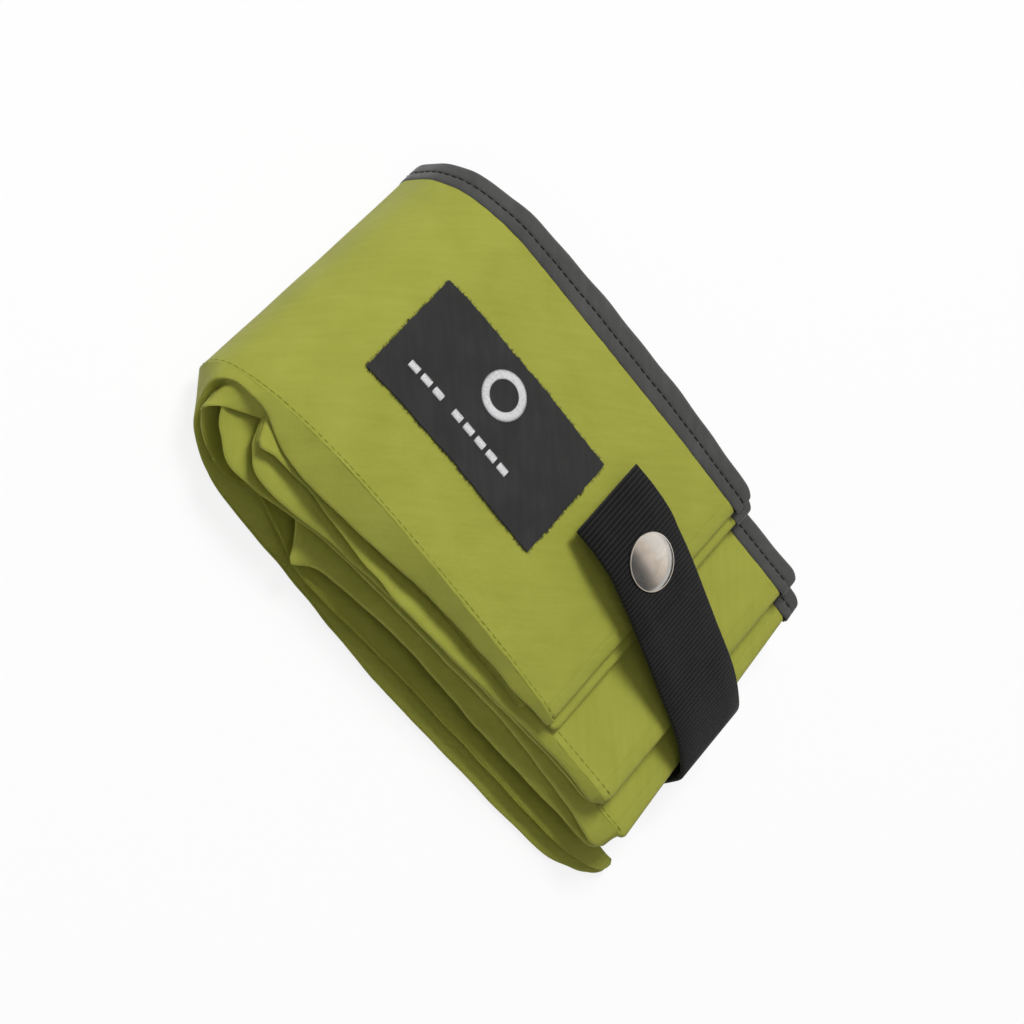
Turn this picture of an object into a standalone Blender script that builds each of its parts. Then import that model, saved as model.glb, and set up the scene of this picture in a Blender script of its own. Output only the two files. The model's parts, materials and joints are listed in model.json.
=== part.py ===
"""Foldable litter box, packed flat, folded in half and held by a snap strap.

The open box is a tub of stiffened fabric: two long walls, two short walls and a
soft base. Packed, each short wall folds inwards in the middle, the base tucks up
between the long walls, and the flat pack is folded in half round its left end.
That leaves four leaves one above the other, each a long wall panel beside a short
wall panel. X runs along the long walls from the fold to the free ends, Y runs from
the base edge to the rim, and Z runs from the table up to the labelled leaf.
"""
import math

import bmesh
import bpy
from mathutils import Euler
from mathutils import Vector

# Plies of a long wall panel, from outside to inside
LONG_COVER = 0.0007
LONG_BOARD = 0.0013
LONG_LINING = 0.0005
# Plies of a short wall panel
SHORT_COVER = 0.0006
SHORT_BOARD = 0.0010
SHORT_LINING = 0.0006
# Fabric tape that binds the rim, and the soft base
TAPE = 0.0007
TAPE_WIDTH = 0.0097
TAPE_CHAMFER = 0.0003
BASE_FABRIC = 0.0006
# Clearances
PLY_GAP = 0.0003
PANEL_GAP = 0.0009
# Spaces between the four leaves, from the table up
BACK_POCKET = 0.0087
FOLD_GAP = 0.0009
FRONT_POCKET = 0.0042

# Wall height from the base seam to the rim, and how the panels end
SEAM_TO_RIM = 0.1100
LEAF_CORNER = 0.0035
# The front leaf's free end from the outside of the fold, and how much further
# the panel under it and then each lower leaf reaches
FRONT_OUTER_END = 0.1560
FRONT_SHORT_STEP = 0.0042
FRONT_INNER_STEP = 0.0358
BACK_INNER_STEP = 0.0112
BACK_OUTER_STEP = 0.0020
SHORT_SETBACK = 0.0012
BACK_END_SKEW = 0.0060
RIGHT_CREASE_START = 0.0355
LEFT_CREASE_START = 0.0610

# Where the front leaf starts to bend down into the big fold and where the back leaf
# lies flat again, and what the second wall and the right crease keep clear of it
SHOULDER_START = 0.0510
FOLD_FOOT = 0.0220
SHOULDER_CLEARANCE = 0.0006
# The fold's outside between them at the base seam and at the rim, in X as shares of the
# shoulder's start and in Z as shares of the stack's height
SEAM_PROFILE_SHARES = [
    (0.745, 0.922),
    (0.588, 0.878),
    (0.431, 0.820),
    (0.294, 0.741),
    (0.167, 0.639),
    (0.078, 0.524),
    (0.035, 0.366),
    (0.049, 0.195),
    (0.127, 0.073),
    (0.255, 0.015),
]
RIM_PROFILE_SHARES = [
    (0.784, 0.990),
    (0.618, 0.946),
    (0.471, 0.873),
    (0.341, 0.766),
    (0.267, 0.654),
    (0.204, 0.522),
    (0.167, 0.349),
    (0.147, 0.220),
    (0.167, 0.098),
    (0.245, 0.024),
]

# Hems where each leaf turns over its base seam into the base
FRONT_OUTER_HEM = 0.0100
FRONT_INNER_HEM = 0.0120
BACK_INNER_HEM = 0.0165
BACK_OUTER_HEM = 0.0210
HEM_CORNER_TAPER = 0.0050
HEM_WAVE = 0.0009
HEM_WAVE_LENGTH = 0.0460
HEM_FADE_SHARE = 0.25
HEM_FULLNESS_SHARE = 0.8
# Half of a leaf's hem in section: how far it reaches and how far it lies from the
# leaf's middle, as shares of its width and of half the leaf
HEM_SECTION_SHARES = [(0, 1), (0.55, 0.95), (0.92, 0.75), (1, 0.5), (0.92, 0.28), (0.45, 0.12)]
HEM_VALLEY_SHARE = 0.3

# Base pleats tucked between the leaves
PLEAT_DEPTH = 0.0700
PLEAT_REACH = 0.0030
PLEAT_SETBACK = 0.0100
FRONT_PLEAT_SPACE = 0.0004
BACK_PLEAT_SPACE = 0.0014

# Webbing strap
STRAP_WIDTH = 0.0330
STRAP_THICKNESS = 0.0015
STRAP_EDGE = 0.0003
STRAP_TIP_Y = 0.0112
STRAP_DRIFT_SHARE = -0.144
STRAP_ROOT_LENGTH = 0.0260
STRAP_TIP_LIFT = 0.0042
STRAP_CROWN_DROP = 0.0018
STRAP_EDGE_LIFT = 0.0011
STRAP_TIP_LENGTH = 0.0245
STRAP_SNAP_SETBACK = 0.0145
STRAP_OVERHANG = 0.0046
STRAP_EASE = 0.0023
STRAP_SAG = 0.0012
# Snap fastener
SNAP_SEAT = 0.0072
SNAP_TILT = math.radians(12)
SNAP_CAP_RADIUS = 0.0097
SNAP_CAP_HEIGHT = 0.0038
SNAP_CAP_RIM = 0.0006
SNAP_SHANK_RADIUS = 0.0018
SNAP_SOCKET_RADIUS = 0.0062
SNAP_SOCKET_HEIGHT = 0.0025
SNAP_SOCKET_ROOF = 0.0008
SNAP_STUD_RADIUS = 0.0030
SNAP_STUD_CLEARANCE = 0.0005
SNAP_FLANGE_RADIUS = 0.0060
SNAP_FLANGE = 0.0008
SNAP_POST_RADIUS = 0.0015
SNAP_POST_HEAD = 0.0034

# Label patch on the front leaf
LABEL_LENGTH = 0.0776
LABEL_HEIGHT = 0.0422
LABEL_THICKNESS = 0.0005
LABEL_FROM_FOLD = 0.0720
LABEL_FROM_SEAM = 0.0500
MOTIF_RADIUS = 0.0085
MOTIF_HOLE = 0.0052
MOTIF_THICKNESS = 0.0004
MOTIF_OFFSET_X = -0.0012
MOTIF_OFFSET_Y = 0.0082

# Smoothness counts
ARC_STEPS = 14
CORNER_STEPS = 3
HEM_PROFILE_STEPS = 8
HEM_STATIONS = 20
TURNED_STEPS = 28
DOME_STEPS = 5
STRAP_STEPS = 4
FOLD_STEPS = 3
SMOOTH_ANGLE = math.radians(35)
MERGE_SHARE = 0.01

# Sums of the plies
LONG_PANEL = LONG_COVER + LONG_BOARD + LONG_LINING + 2 * PLY_GAP
SHORT_PANEL = SHORT_COVER + SHORT_BOARD + SHORT_LINING + 2 * PLY_GAP
LEAF = LONG_PANEL + PANEL_GAP + SHORT_PANEL
BACK_INNER_BOTTOM = LEAF + BACK_POCKET
FRONT_INNER_BOTTOM = BACK_INNER_BOTTOM + LEAF + FOLD_GAP
FRONT_OUTER_BOTTOM = FRONT_INNER_BOTTOM + LEAF + FRONT_POCKET
STACK = FRONT_OUTER_BOTTOM + LEAF
FOLD_LEVEL = STACK / 2
INNER_FOLD_LEVEL = FRONT_INNER_BOTTOM - FOLD_GAP / 2
FRONT_SHORT_END = FRONT_OUTER_END + FRONT_SHORT_STEP
FRONT_INNER_END = FRONT_OUTER_END + FRONT_INNER_STEP
BACK_INNER_END = FRONT_INNER_END + BACK_INNER_STEP
BACK_OUTER_END = BACK_INNER_END + BACK_OUTER_STEP
RIM_Y = SEAM_TO_RIM - LABEL_FROM_SEAM
SEAM_Y = -LABEL_FROM_SEAM
COVER_RIM_Y = RIM_Y - TAPE_WIDTH - PLY_GAP
SNAP_HEIGHT = STRAP_THICKNESS / 2 + SNAP_SOCKET_HEIGHT + SNAP_FLANGE + 2 * PLY_GAP
SNAP_LEAN = SNAP_HEIGHT * math.cos(SNAP_TILT) + SNAP_FLANGE_RADIUS * math.sin(SNAP_TILT)
SNAP_LEVEL = STACK + PLY_GAP + SNAP_LEAN
BOARD_RIM_Y = RIM_Y - TAPE - PLY_GAP
BOARD_DEPTH = LONG_COVER + PLY_GAP + LONG_BOARD / 2
TAPE_DEPTH = BOARD_DEPTH + LONG_BOARD / 2 + PLY_GAP + TAPE


class Finish:
    """A plain Principled material for one kind of piece."""

    def __init__(self, name, colour, roughness, metallic=0.0):
        self.material = bpy.data.materials.new(name)
        self.material.use_nodes = True
        shader = self.material.node_tree.nodes["Principled BSDF"]
        shader.inputs["Base Color"].default_value = (*colour, 1.0)
        shader.inputs["Roughness"].default_value = roughness
        shader.inputs["Metallic"].default_value = metallic


def clear_scene():
    """Remove every object that the scene starts with."""
    for thing in list(bpy.data.objects):
        bpy.data.objects.remove(thing)


def make_object(name, mesh, finish, smooth_angle=None):
    """Turn a bmesh into a named object with one material."""
    bmesh.ops.recalc_face_normals(mesh, faces=mesh.faces)
    data = bpy.data.meshes.new(name)
    mesh.to_mesh(data)
    mesh.free()
    data.materials.append(finish.material)
    if smooth_angle is not None:
        data.shade_smooth()
        data.set_sharp_from_angle(angle=smooth_angle)
    thing = bpy.data.objects.new(name, data)
    bpy.context.scene.collection.objects.link(thing)
    return thing


def slab(name, outline, bottom, thickness, finish):
    """A flat ply: an outline in XY, extruded upwards."""
    mesh = bmesh.new()
    face = mesh.faces.new([mesh.verts.new((x, y, bottom)) for x, y in outline])
    raised = bmesh.ops.extrude_face_region(mesh, geom=[face])
    verts = [item for item in raised["geom"] if isinstance(item, bmesh.types.BMVert)]
    bmesh.ops.translate(mesh, verts=verts, vec=(0, 0, thickness))
    return make_object(name, mesh, finish)


def sweep(name, rings, finish):
    """A solid whose cross-section passes through a list of rings of points."""
    mesh = bmesh.new()
    loops = [[mesh.verts.new(point) for point in ring] for ring in rings]
    for near, far in zip(loops, loops[1:]):
        for number in range(len(near)):
            other = (number + 1) % len(near)
            mesh.faces.new((near[number], near[other], far[other], far[number]))
    mesh.faces.new(loops[0])
    mesh.faces.new(loops[-1])
    return make_object(name, mesh, finish, SMOOTH_ANGLE)


def turned(name, profile, finish):
    """A round piece: a profile of (radius, height) turned about its own Z axis."""
    mesh = bmesh.new()
    verts = [mesh.verts.new((radius, 0, height)) for radius, height in profile]
    edges = [mesh.edges.new(pair) for pair in zip(verts, verts[1:])]
    if profile[0][0] > 0:
        edges.append(mesh.edges.new((verts[-1], verts[0])))
    bmesh.ops.spin(
        mesh,
        geom=verts + edges,
        cent=(0, 0, 0),
        axis=(0, 0, 1),
        angle=math.tau,
        steps=TURNED_STEPS,
        use_duplicate=False,
    )
    bmesh.ops.remove_doubles(mesh, verts=mesh.verts, dist=PLY_GAP * MERGE_SHARE)
    return make_object(name, mesh, finish, SMOOTH_ANGLE)


def corner_arc(centre, radius, start_angle):
    """Points of a quarter circle, counter-clockwise."""
    points = []
    for step in range(CORNER_STEPS + 1):
        angle = start_angle + math.pi / 2 * step / CORNER_STEPS
        x = centre[0] + radius * math.cos(angle)
        y = centre[1] + radius * math.sin(angle)
        points.append((x, y))
    return points


def leaf_outline(start, end, skew, low_y, high_y):
    """A panel outline whose free end has two round corners, and may lean."""
    inset = end - LEAF_CORNER
    base = corner_arc((inset + skew / 2, low_y + LEAF_CORNER), LEAF_CORNER, -math.pi / 2)
    rim = corner_arc((inset - skew / 2, high_y - LEAF_CORNER), LEAF_CORNER, 0)
    return [(start, low_y)] + base + rim + [(start, high_y)]


def straight_path(start, end, level, steps=1):
    """Stations (x, z, normal x, normal z) along a flat leaf."""
    return [(start + (end - start) * i / steps, level, 0, 1) for i in range(steps + 1)]


def turn_path(centre, radius, steps=ARC_STEPS):
    """Stations round the left half of a circle, from its top to its bottom."""
    stations = []
    for step in range(steps + 1):
        angle = math.pi / 2 + math.pi * step / steps
        outward = (math.cos(angle), math.sin(angle))
        stations.append((centre[0] + radius * outward[0], centre[1] + radius * outward[1], *outward))
    return stations


def band_rings(path, low_y, high_y, thickness):
    """Rings of a flat band, centred on its path."""
    rings = []
    half = thickness / 2
    for x, z, nx, nz in path:
        outer = (x + nx * half, z + nz * half)
        inner = (x - nx * half, z - nz * half)
        rings.append([
            (outer[0], low_y, outer[1]),
            (outer[0], high_y, outer[1]),
            (inner[0], high_y, inner[1]),
            (inner[0], low_y, inner[1]),
        ])
    return rings


def tape_profile(board):
    """A rim tape's section: a U that closes over the board's edge."""
    slot = board / 2 + PLY_GAP
    outside = slot + TAPE
    mouth = RIM_Y - TAPE_WIDTH
    return [
        (mouth, outside),
        (RIM_Y - TAPE_CHAMFER, outside),
        (RIM_Y, outside - TAPE_CHAMFER),
        (RIM_Y, TAPE_CHAMFER - outside),
        (RIM_Y - TAPE_CHAMFER, -outside),
        (mouth, -outside),
        (mouth, -slot),
        (RIM_Y - TAPE, -slot),
        (RIM_Y - TAPE, slot),
        (mouth, slot),
    ]


def tape_rings(path, board):
    """Rings of a rim tape along a path through the board's middle."""
    profile = tape_profile(board)
    return [[(x + nx * off, y, z + nz * off) for y, off in profile] for x, z, nx, nz in path]


def leaf_hem_section():
    """Shares of reach and offset round a leaf's hem: two noses with a valley between."""
    lower = [(reach, -off) for reach, off in reversed(HEM_SECTION_SHARES)]
    return HEM_SECTION_SHARES + [(HEM_VALLEY_SHARE, 0)] + lower


def turn_hem_section():
    """Shares of reach and offset round a hem at a fold: one rounded nose."""
    section = []
    for step in range(HEM_PROFILE_STEPS + 1):
        angle = math.pi / 2 - math.pi * step / HEM_PROFILE_STEPS
        section.append((math.cos(angle) ** HEM_FULLNESS_SHARE, math.sin(angle)))
    return section


def hem_rings(path, width_at, thickness, section):
    """Rings of a hem that stands out past the base seam."""
    rings = []
    half = thickness / 2
    root = SEAM_Y - PLY_GAP
    for number, (x, z, nx, nz) in enumerate(path):
        width = width_at(number / (len(path) - 1), x)
        ring = []
        for reach, off in section:
            ring.append((x + nx * off * half, root - reach * width, z + nz * off * half))
        rings.append(ring)
    return rings


def leaf_hem_width(width):
    """A hem's width along its leaf: a slow wave that tapers to the free corner."""
    def width_at(share, x):
        fade = min(1, share / HEM_FADE_SHARE, (1 - share) / HEM_FADE_SHARE)
        wave = HEM_WAVE * math.sin(math.tau * x / HEM_WAVE_LENGTH)
        taper = HEM_CORNER_TAPER * max(0, 2 * share - 1) ** 2
        return width + wave * fade - taper - PLY_GAP
    return width_at


def turn_hem_width(front_width, back_width):
    """A hem's width round a fold, from the front leaf's to the back leaf's."""
    def width_at(share, x):
        return front_width + (back_width - front_width) * share - PLY_GAP
    return width_at


class Panel:
    """One half of a wall: cover, board and lining, with its rim tape."""

    def __init__(self, name, bottom, start, end, skew=0, cover_down=False):
        self.name = name
        self.bottom = bottom
        self.start = start
        self.end = end
        self.skew = skew
        self.cover_down = cover_down
        if name.startswith("long"):
            self.cover, self.board, self.lining = LONG_COVER, LONG_BOARD, LONG_LINING
        else:
            self.cover, self.board, self.lining = SHORT_COVER, SHORT_BOARD, SHORT_LINING

    def levels(self):
        """Bottom of the cover, the board and the lining."""
        if self.cover_down:
            board = self.bottom + self.cover + PLY_GAP
            return self.bottom, board, board + self.board + PLY_GAP
        board = self.bottom + self.lining + PLY_GAP
        return board + self.board + PLY_GAP, board, self.bottom

    def build(self, finishes):
        """Make the three plies and the tape."""
        cover_z, board_z, lining_z = self.levels()
        soft = leaf_outline(self.start, self.end, self.skew, SEAM_Y, COVER_RIM_Y)
        board_start = self.start + PLY_GAP
        board_end = self.end - LONG_COVER
        stiff = leaf_outline(board_start, board_end, self.skew, SEAM_Y, BOARD_RIM_Y)
        path = straight_path(self.start, self.end - self.skew / 2, board_z + self.board / 2)
        return [
            slab(self.name + "_cover", soft, cover_z, self.cover, finishes["green"]),
            slab(self.name + "_board", stiff, board_z, self.board, finishes["board"]),
            slab(self.name + "_lining", soft, lining_z, self.lining, finishes["lining"]),
            sweep(self.name + "_rim_tape", tape_rings(path, self.board), finishes["tape"]),
        ]


def build_front_half(finishes):
    """The two leaves that lift when the pack is unfolded."""
    low = FRONT_INNER_BOTTOM + LEAF
    high = FRONT_OUTER_BOTTOM
    long_a_bottom = high + SHORT_PANEL + PANEL_GAP
    short_b_bottom = FRONT_INNER_BOTTOM + LONG_PANEL + PANEL_GAP
    short_b_end = FRONT_INNER_END - SHORT_SETBACK
    crease = RIGHT_CREASE_START
    panels = [
        Panel("long_wall_a_front", long_a_bottom, SHOULDER_START, FRONT_OUTER_END),
        Panel("short_wall_right_a", high, SHOULDER_START, FRONT_SHORT_END, cover_down=True),
        Panel("short_wall_right_b", short_b_bottom, crease, short_b_end),
        Panel(
            "long_wall_b_front",
            FRONT_INNER_BOTTOM,
            inner_fold_start(),
            FRONT_INNER_END,
            cover_down=True,
        ),
    ]
    pieces = [piece for panel in panels for piece in panel.build(finishes)]
    outer = straight_path(SHOULDER_START, FRONT_OUTER_END, high + LEAF / 2, HEM_STATIONS)
    inner_level = FRONT_INNER_BOTTOM + LEAF / 2
    inner = straight_path(inner_hem_start(), FRONT_INNER_END, inner_level, HEM_STATIONS)
    pieces.append(build_hem("base_hem_front_outer", outer, FRONT_OUTER_HEM, finishes))
    pieces.append(build_hem("base_hem_front_inner", inner, FRONT_INNER_HEM, finishes))
    right = FRONT_OUTER_END - PLEAT_SETBACK
    pleat = [SHOULDER_START, right, high, FRONT_PLEAT_SPACE]
    pieces += build_pleats("base_pleat_front", *pleat, finishes)
    pieces.append(build_right_crease(crease, low, high, finishes))
    return pieces


def build_back_half(finishes):
    """The two leaves that stay on the table."""
    low = LEAF
    high = BACK_INNER_BOTTOM
    skew = BACK_END_SKEW
    long_b_bottom = high + SHORT_PANEL + PANEL_GAP
    short_a_bottom = LONG_PANEL + PANEL_GAP
    short_b_end = BACK_INNER_END - SHORT_SETBACK
    short_a_end = BACK_OUTER_END - SHORT_SETBACK
    crease = LEFT_CREASE_START
    fold = inner_fold_start()
    panels = [
        Panel("long_wall_b_back", long_b_bottom, fold, BACK_INNER_END, skew),
        Panel("short_wall_left_b", high, crease, short_b_end, skew, cover_down=True),
        Panel("short_wall_left_a", short_a_bottom, crease, short_a_end, skew),
        Panel("long_wall_a_back", 0, FOLD_FOOT, BACK_OUTER_END, skew, cover_down=True),
    ]
    pieces = [piece for panel in panels for piece in panel.build(finishes)]
    inner = straight_path(fold, BACK_INNER_END, high + LEAF / 2, HEM_STATIONS)
    outer = straight_path(FOLD_FOOT, BACK_OUTER_END, LEAF / 2, HEM_STATIONS)
    pieces.append(build_hem("base_hem_back_inner", inner, BACK_INNER_HEM, finishes))
    pieces.append(build_hem("base_hem_back_outer", outer, BACK_OUTER_HEM, finishes))
    right = BACK_INNER_END - PLEAT_SETBACK
    pieces += build_pleats("base_pleat_back", crease, right, high, BACK_PLEAT_SPACE, finishes)
    pieces.append(build_left_crease(crease, low, high, finishes))
    return pieces


def build_hem(name, path, width, finishes):
    """The rounded edge where a leaf turns into the base."""
    rings = hem_rings(path, leaf_hem_width(width), LEAF, leaf_hem_section())
    return sweep(name, rings, finishes["green"])


def build_pleats(name, crease_start, right, high, space, finishes):
    """Two pleats of the base, hung from the leaf above them."""
    pieces = []
    depth = 2 * BASE_FABRIC + space
    mouth = SEAM_Y - PLEAT_REACH
    crease = SEAM_Y + PLEAT_DEPTH
    left = crease_start + PLY_GAP
    for number, word in enumerate(["upper", "lower"]):
        top = high - PLY_GAP - number * (depth + PLY_GAP)
        middle = top - depth / 2
        profile = [
            (mouth, depth / 2),
            (crease, depth / 2),
            (crease + depth / 2, 0),
            (crease, -depth / 2),
            (mouth, -depth / 2),
            (mouth, -space / 2),
            (crease, -space / 2),
            (crease, space / 2),
            (mouth, space / 2),
        ]
        rings = [[(x, y, middle + off) for y, off in profile] for x in (left, right)]
        pieces.append(sweep(name + "_" + word, rings, finishes["green"]))
    return pieces


def build_left_crease(start, low, high, finishes):
    """The soft crease that joins the two halves of the left short wall."""
    radius = (high - low) / 2 + SHORT_COVER / 2
    path = turn_path((start - PLY_GAP, (high + low) / 2), radius, ARC_STEPS // 2)
    rings = band_rings(path, SEAM_Y, COVER_RIM_Y, SHORT_COVER)
    return sweep("short_wall_left_crease", rings, finishes["green"])


def build_right_crease(start, low, high, finishes):
    """The right short wall's crease, which sags under the front leaf's shoulder."""
    bottom = low - SHORT_COVER / 2
    inside = [height_on(line, start - PLY_GAP) for line in inside_lines()]
    radius = (min(inside) - SHOULDER_CLEARANCE - SHORT_COVER / 2 - bottom) / 2
    turn = turn_path((start - PLY_GAP, bottom + radius), radius, ARC_STEPS // 2)
    top = (SHOULDER_START - PLY_GAP, high + SHORT_COVER / 2, 0, 1)
    rings = band_rings([top] + turn, SEAM_Y, COVER_RIM_Y, SHORT_COVER)
    return sweep("short_wall_right_crease", rings, finishes["green"])


def outer_line(shares):
    """The big fold's outside in X and Z, from the front leaf to the back leaf."""
    points = [(SHOULDER_START - PLY_GAP, STACK)]
    points += [(x * SHOULDER_START, z * STACK) for x, z in shares]
    points.append((FOLD_FOOT - PLY_GAP, 0))
    return smooth_route(points, FOLD_STEPS)


def outer_stations():
    """Places of the big fold's outside at the seam and the rim, each with the way in."""
    stations = []
    for line in (outer_line(SEAM_PROFILE_SHARES), outer_line(RIM_PROFILE_SHARES)):
        inward = []
        for before, after in zip(line, line[2:]):
            along = (after - before).normalized()
            inward.append(Vector((-along.y, along.x)))
        inward = [Vector((0, -1))] + inward + [Vector((0, 1))]
        stations.append(list(zip(line, inward)))
    return list(zip(*stations))


def fold_place(station, y, depth):
    """A place of the big fold, so far below its outside."""
    (seam, seam_in), (rim, rim_in) = station
    share = (y - SEAM_Y) / SEAM_TO_RIM
    outside = seam.lerp(rim, share)
    inward = seam_in.lerp(rim_in, share).normalized()
    place = outside + inward * depth
    return (place.x, y, place.y)


def fold_rings(stations, section):
    """Rings of a fold's ply, from its section in Y and in depth below the outside."""
    return [[fold_place(station, y, depth) for y, depth in section] for station in stations]


def inside_lines():
    """The first wall's inner face round the big fold, at the seam and at the rim."""
    stations = outer_stations()
    return [[fold_place(station, y, TAPE_DEPTH) for station in stations] for y in (SEAM_Y, RIM_Y)]


def height_on(line, x):
    """Height of a line that runs down to the left, at a place along X."""
    for near, far in zip(line, line[1:]):
        if far[0] <= x:
            return far[2] + (near[2] - far[2]) * (x - far[0]) / (near[0] - far[0])
    return line[-1][2]


def inner_fold_start():
    """Where the second wall's fold begins, clear of the first wall round it."""
    reach = FOLD_GAP / 2 + TAPE_DEPTH + SHOULDER_CLEARANCE
    start = 0
    for x, _, z in inside_lines()[0] + inside_lines()[1]:
        rise = abs(z - INNER_FOLD_LEVEL)
        if rise < reach:
            start = max(start, x + math.sqrt(reach ** 2 - rise ** 2))
    return start + PLY_GAP


def inner_hem_start():
    """Where the full hem beside the second wall begins, clear of the shoulder."""
    level = FRONT_INNER_BOTTOM + LEAF + SHOULDER_CLEARANCE
    start = inner_fold_start() + PLY_GAP
    for line in inside_lines():
        while height_on(line, start) < level:
            start += PLY_GAP
    return start


def build_outer_fold(finishes):
    """The first long wall where it wraps the folded end."""
    stations = outer_stations()
    sections = []
    for near, far in ((0, LONG_COVER), (LONG_PANEL - LONG_LINING, LONG_PANEL)):
        sections.append([(SEAM_Y, near), (COVER_RIM_Y, near), (COVER_RIM_Y, far), (SEAM_Y, far)])
    tape = [(y, BOARD_DEPTH - off) for y, off in tape_profile(LONG_BOARD)]
    path = []
    for station in stations:
        x, _, z = fold_place(station, SEAM_Y, LONG_PANEL / 2)
        inward = station[0][1]
        path.append((x, z, -inward.x, -inward.y))
    width = turn_hem_width(FRONT_OUTER_HEM, BACK_OUTER_HEM)
    hem = hem_rings(path, width, LONG_PANEL, turn_hem_section())
    return [
        sweep("long_wall_a_fold_cover", fold_rings(stations, sections[0]), finishes["green"]),
        sweep("long_wall_a_fold_lining", fold_rings(stations, sections[1]), finishes["lining"]),
        sweep("long_wall_a_fold_rim_tape", fold_rings(stations, tape), finishes["tape"]),
        sweep("base_hem_outer_turn", hem, finishes["green"]),
    ]


def build_inner_fold(finishes):
    """The second long wall where it doubles back inside the fold."""
    inside = FOLD_GAP / 2
    centre = (inner_fold_start() - PLY_GAP, INNER_FOLD_LEVEL)
    depths = [
        LONG_COVER / 2,
        BOARD_DEPTH,
        LONG_PANEL - LONG_LINING / 2,
        LONG_PANEL / 2,
    ]
    steps = ARC_STEPS // 2
    cover, board, lining, hem = [turn_path(centre, inside + depth, steps) for depth in depths]
    hem = [(inner_hem_start() - PLY_GAP, hem[0][1], 0, 1)] + hem
    cover_rings = band_rings(cover, SEAM_Y, COVER_RIM_Y, LONG_COVER)
    lining_rings = band_rings(lining, SEAM_Y, COVER_RIM_Y, LONG_LINING)
    width = turn_hem_width(FRONT_INNER_HEM, BACK_INNER_HEM)
    nose = hem_rings(hem, width, LONG_PANEL, turn_hem_section())
    tape = tape_rings(board, LONG_BOARD)
    return [
        sweep("long_wall_b_fold_cover", cover_rings, finishes["green"]),
        sweep("long_wall_b_fold_lining", lining_rings, finishes["lining"]),
        sweep("long_wall_b_fold_rim_tape", tape, finishes["tape"]),
        sweep("base_hem_inner_turn", nose, finishes["green"]),
    ]


def smooth_route(points, steps=STRAP_STEPS):
    """Points of a smooth curve that passes through each given point."""
    knots = [Vector(point) for point in [points[0], *points, points[-1]]]
    route = []
    for before, start, end, after in zip(knots, knots[1:], knots[2:], knots[3:]):
        slope = end - before
        bend = 2 * before - 5 * start + 4 * end - after
        turn = 3 * start - before - 3 * end + after
        for step in range(steps):
            t = step / steps
            route.append(start + 0.5 * (slope * t + bend * t ** 2 + turn * t ** 3))
    route.append(knots[-1])
    return route


def webbing_rings(route, start_length):
    """Rings of flat webbing along a route in XZ, drifting sideways as it goes."""
    half = STRAP_THICKNESS / 2
    side = STRAP_WIDTH / 2
    section = [
        (STRAP_EDGE - side, half),
        (side - STRAP_EDGE, half),
        (side, half - STRAP_EDGE),
        (side, STRAP_EDGE - half),
        (side - STRAP_EDGE, -half),
        (STRAP_EDGE - side, -half),
        (-side, STRAP_EDGE - half),
        (-side, half - STRAP_EDGE),
    ]
    rings = []
    length = start_length
    for number, point in enumerate(route):
        if number:
            length += (point - route[number - 1]).length
        ahead = route[min(number + 1, len(route) - 1)]
        behind = route[max(number - 1, 0)]
        along = (ahead - behind).normalized()
        up = Vector((-along.y, along.x))
        middle = STRAP_TIP_Y + STRAP_DRIFT_SHARE * length
        ring = [(point.x + up.x * off, middle + y, point.y + up.y * off) for y, off in section]
        rings.append(ring)
    return rings


def strap_routes():
    """Centre lines of the strap's three stretches: tab, span and root."""
    half = STRAP_THICKNESS / 2
    snap_x = FRONT_OUTER_END - STRAP_SNAP_SETBACK
    tip_x = snap_x - STRAP_TIP_LENGTH
    edge = (FRONT_OUTER_END + STRAP_EASE, STACK + half + STRAP_EDGE_LIFT)
    seat_x = SNAP_SEAT * math.cos(SNAP_TILT)
    seat_z = SNAP_SEAT * math.sin(SNAP_TILT)
    tab = [
        (tip_x, STACK + half + STRAP_TIP_LIFT),
        (tip_x + STRAP_TIP_LENGTH / 3, SNAP_LEVEL + STRAP_CROWN_DROP / 2),
        (snap_x - seat_x, SNAP_LEVEL + seat_z),
        (snap_x, SNAP_LEVEL),
        (snap_x + seat_x, SNAP_LEVEL - seat_z),
        edge,
    ]
    inner_top = FRONT_INNER_BOTTOM + LEAF
    back_top = BACK_INNER_BOTTOM + LEAF
    root_level = LEAF + PLY_GAP + half
    out = BACK_INNER_END + STRAP_OVERHANG
    root_end = BACK_INNER_END + STRAP_SAG
    span = [
        edge,
        ((edge[0] + FRONT_INNER_END) / 2, (edge[1] + inner_top) / 2 + STRAP_SAG),
        (FRONT_INNER_END, inner_top + STRAP_EASE),
        (BACK_INNER_END, back_top + STRAP_EASE + STRAP_SAG),
        (out - STRAP_EDGE, back_top - STRAP_SAG),
        (out, (back_top + root_level) / 2),
        (out - STRAP_EDGE * 2, root_level + STRAP_EASE),
        (root_end + STRAP_THICKNESS, root_level),
        (root_end, root_level),
    ]
    root = [(root_end, root_level), (root_end - STRAP_ROOT_LENGTH, root_level)]
    return tab, span, root


def trimmed(route):
    """The route with half a clearance taken off both ends."""
    first = route[0] + (route[1] - route[0]).normalized() * PLY_GAP / 2
    last = route[-1] + (route[-2] - route[-1]).normalized() * PLY_GAP / 2
    return [first] + route[1:-1] + [last]


def route_length(route):
    """Length of a route of points."""
    return sum((far - near).length for near, far in zip(route, route[1:]))


def build_strap(finishes):
    """The webbing strap in three stretches, each able to bend from the next."""
    pieces = []
    length = 0
    for name, points in zip(["strap_tab", "strap_span", "strap_root"], strap_routes()):
        route = smooth_route(points) if len(points) > 2 else [Vector(point) for point in points]
        rings = webbing_rings(trimmed(route), length)
        length += route_length(route)
        pieces.append(sweep(name, rings, finishes["webbing"]))
    return pieces


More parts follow.
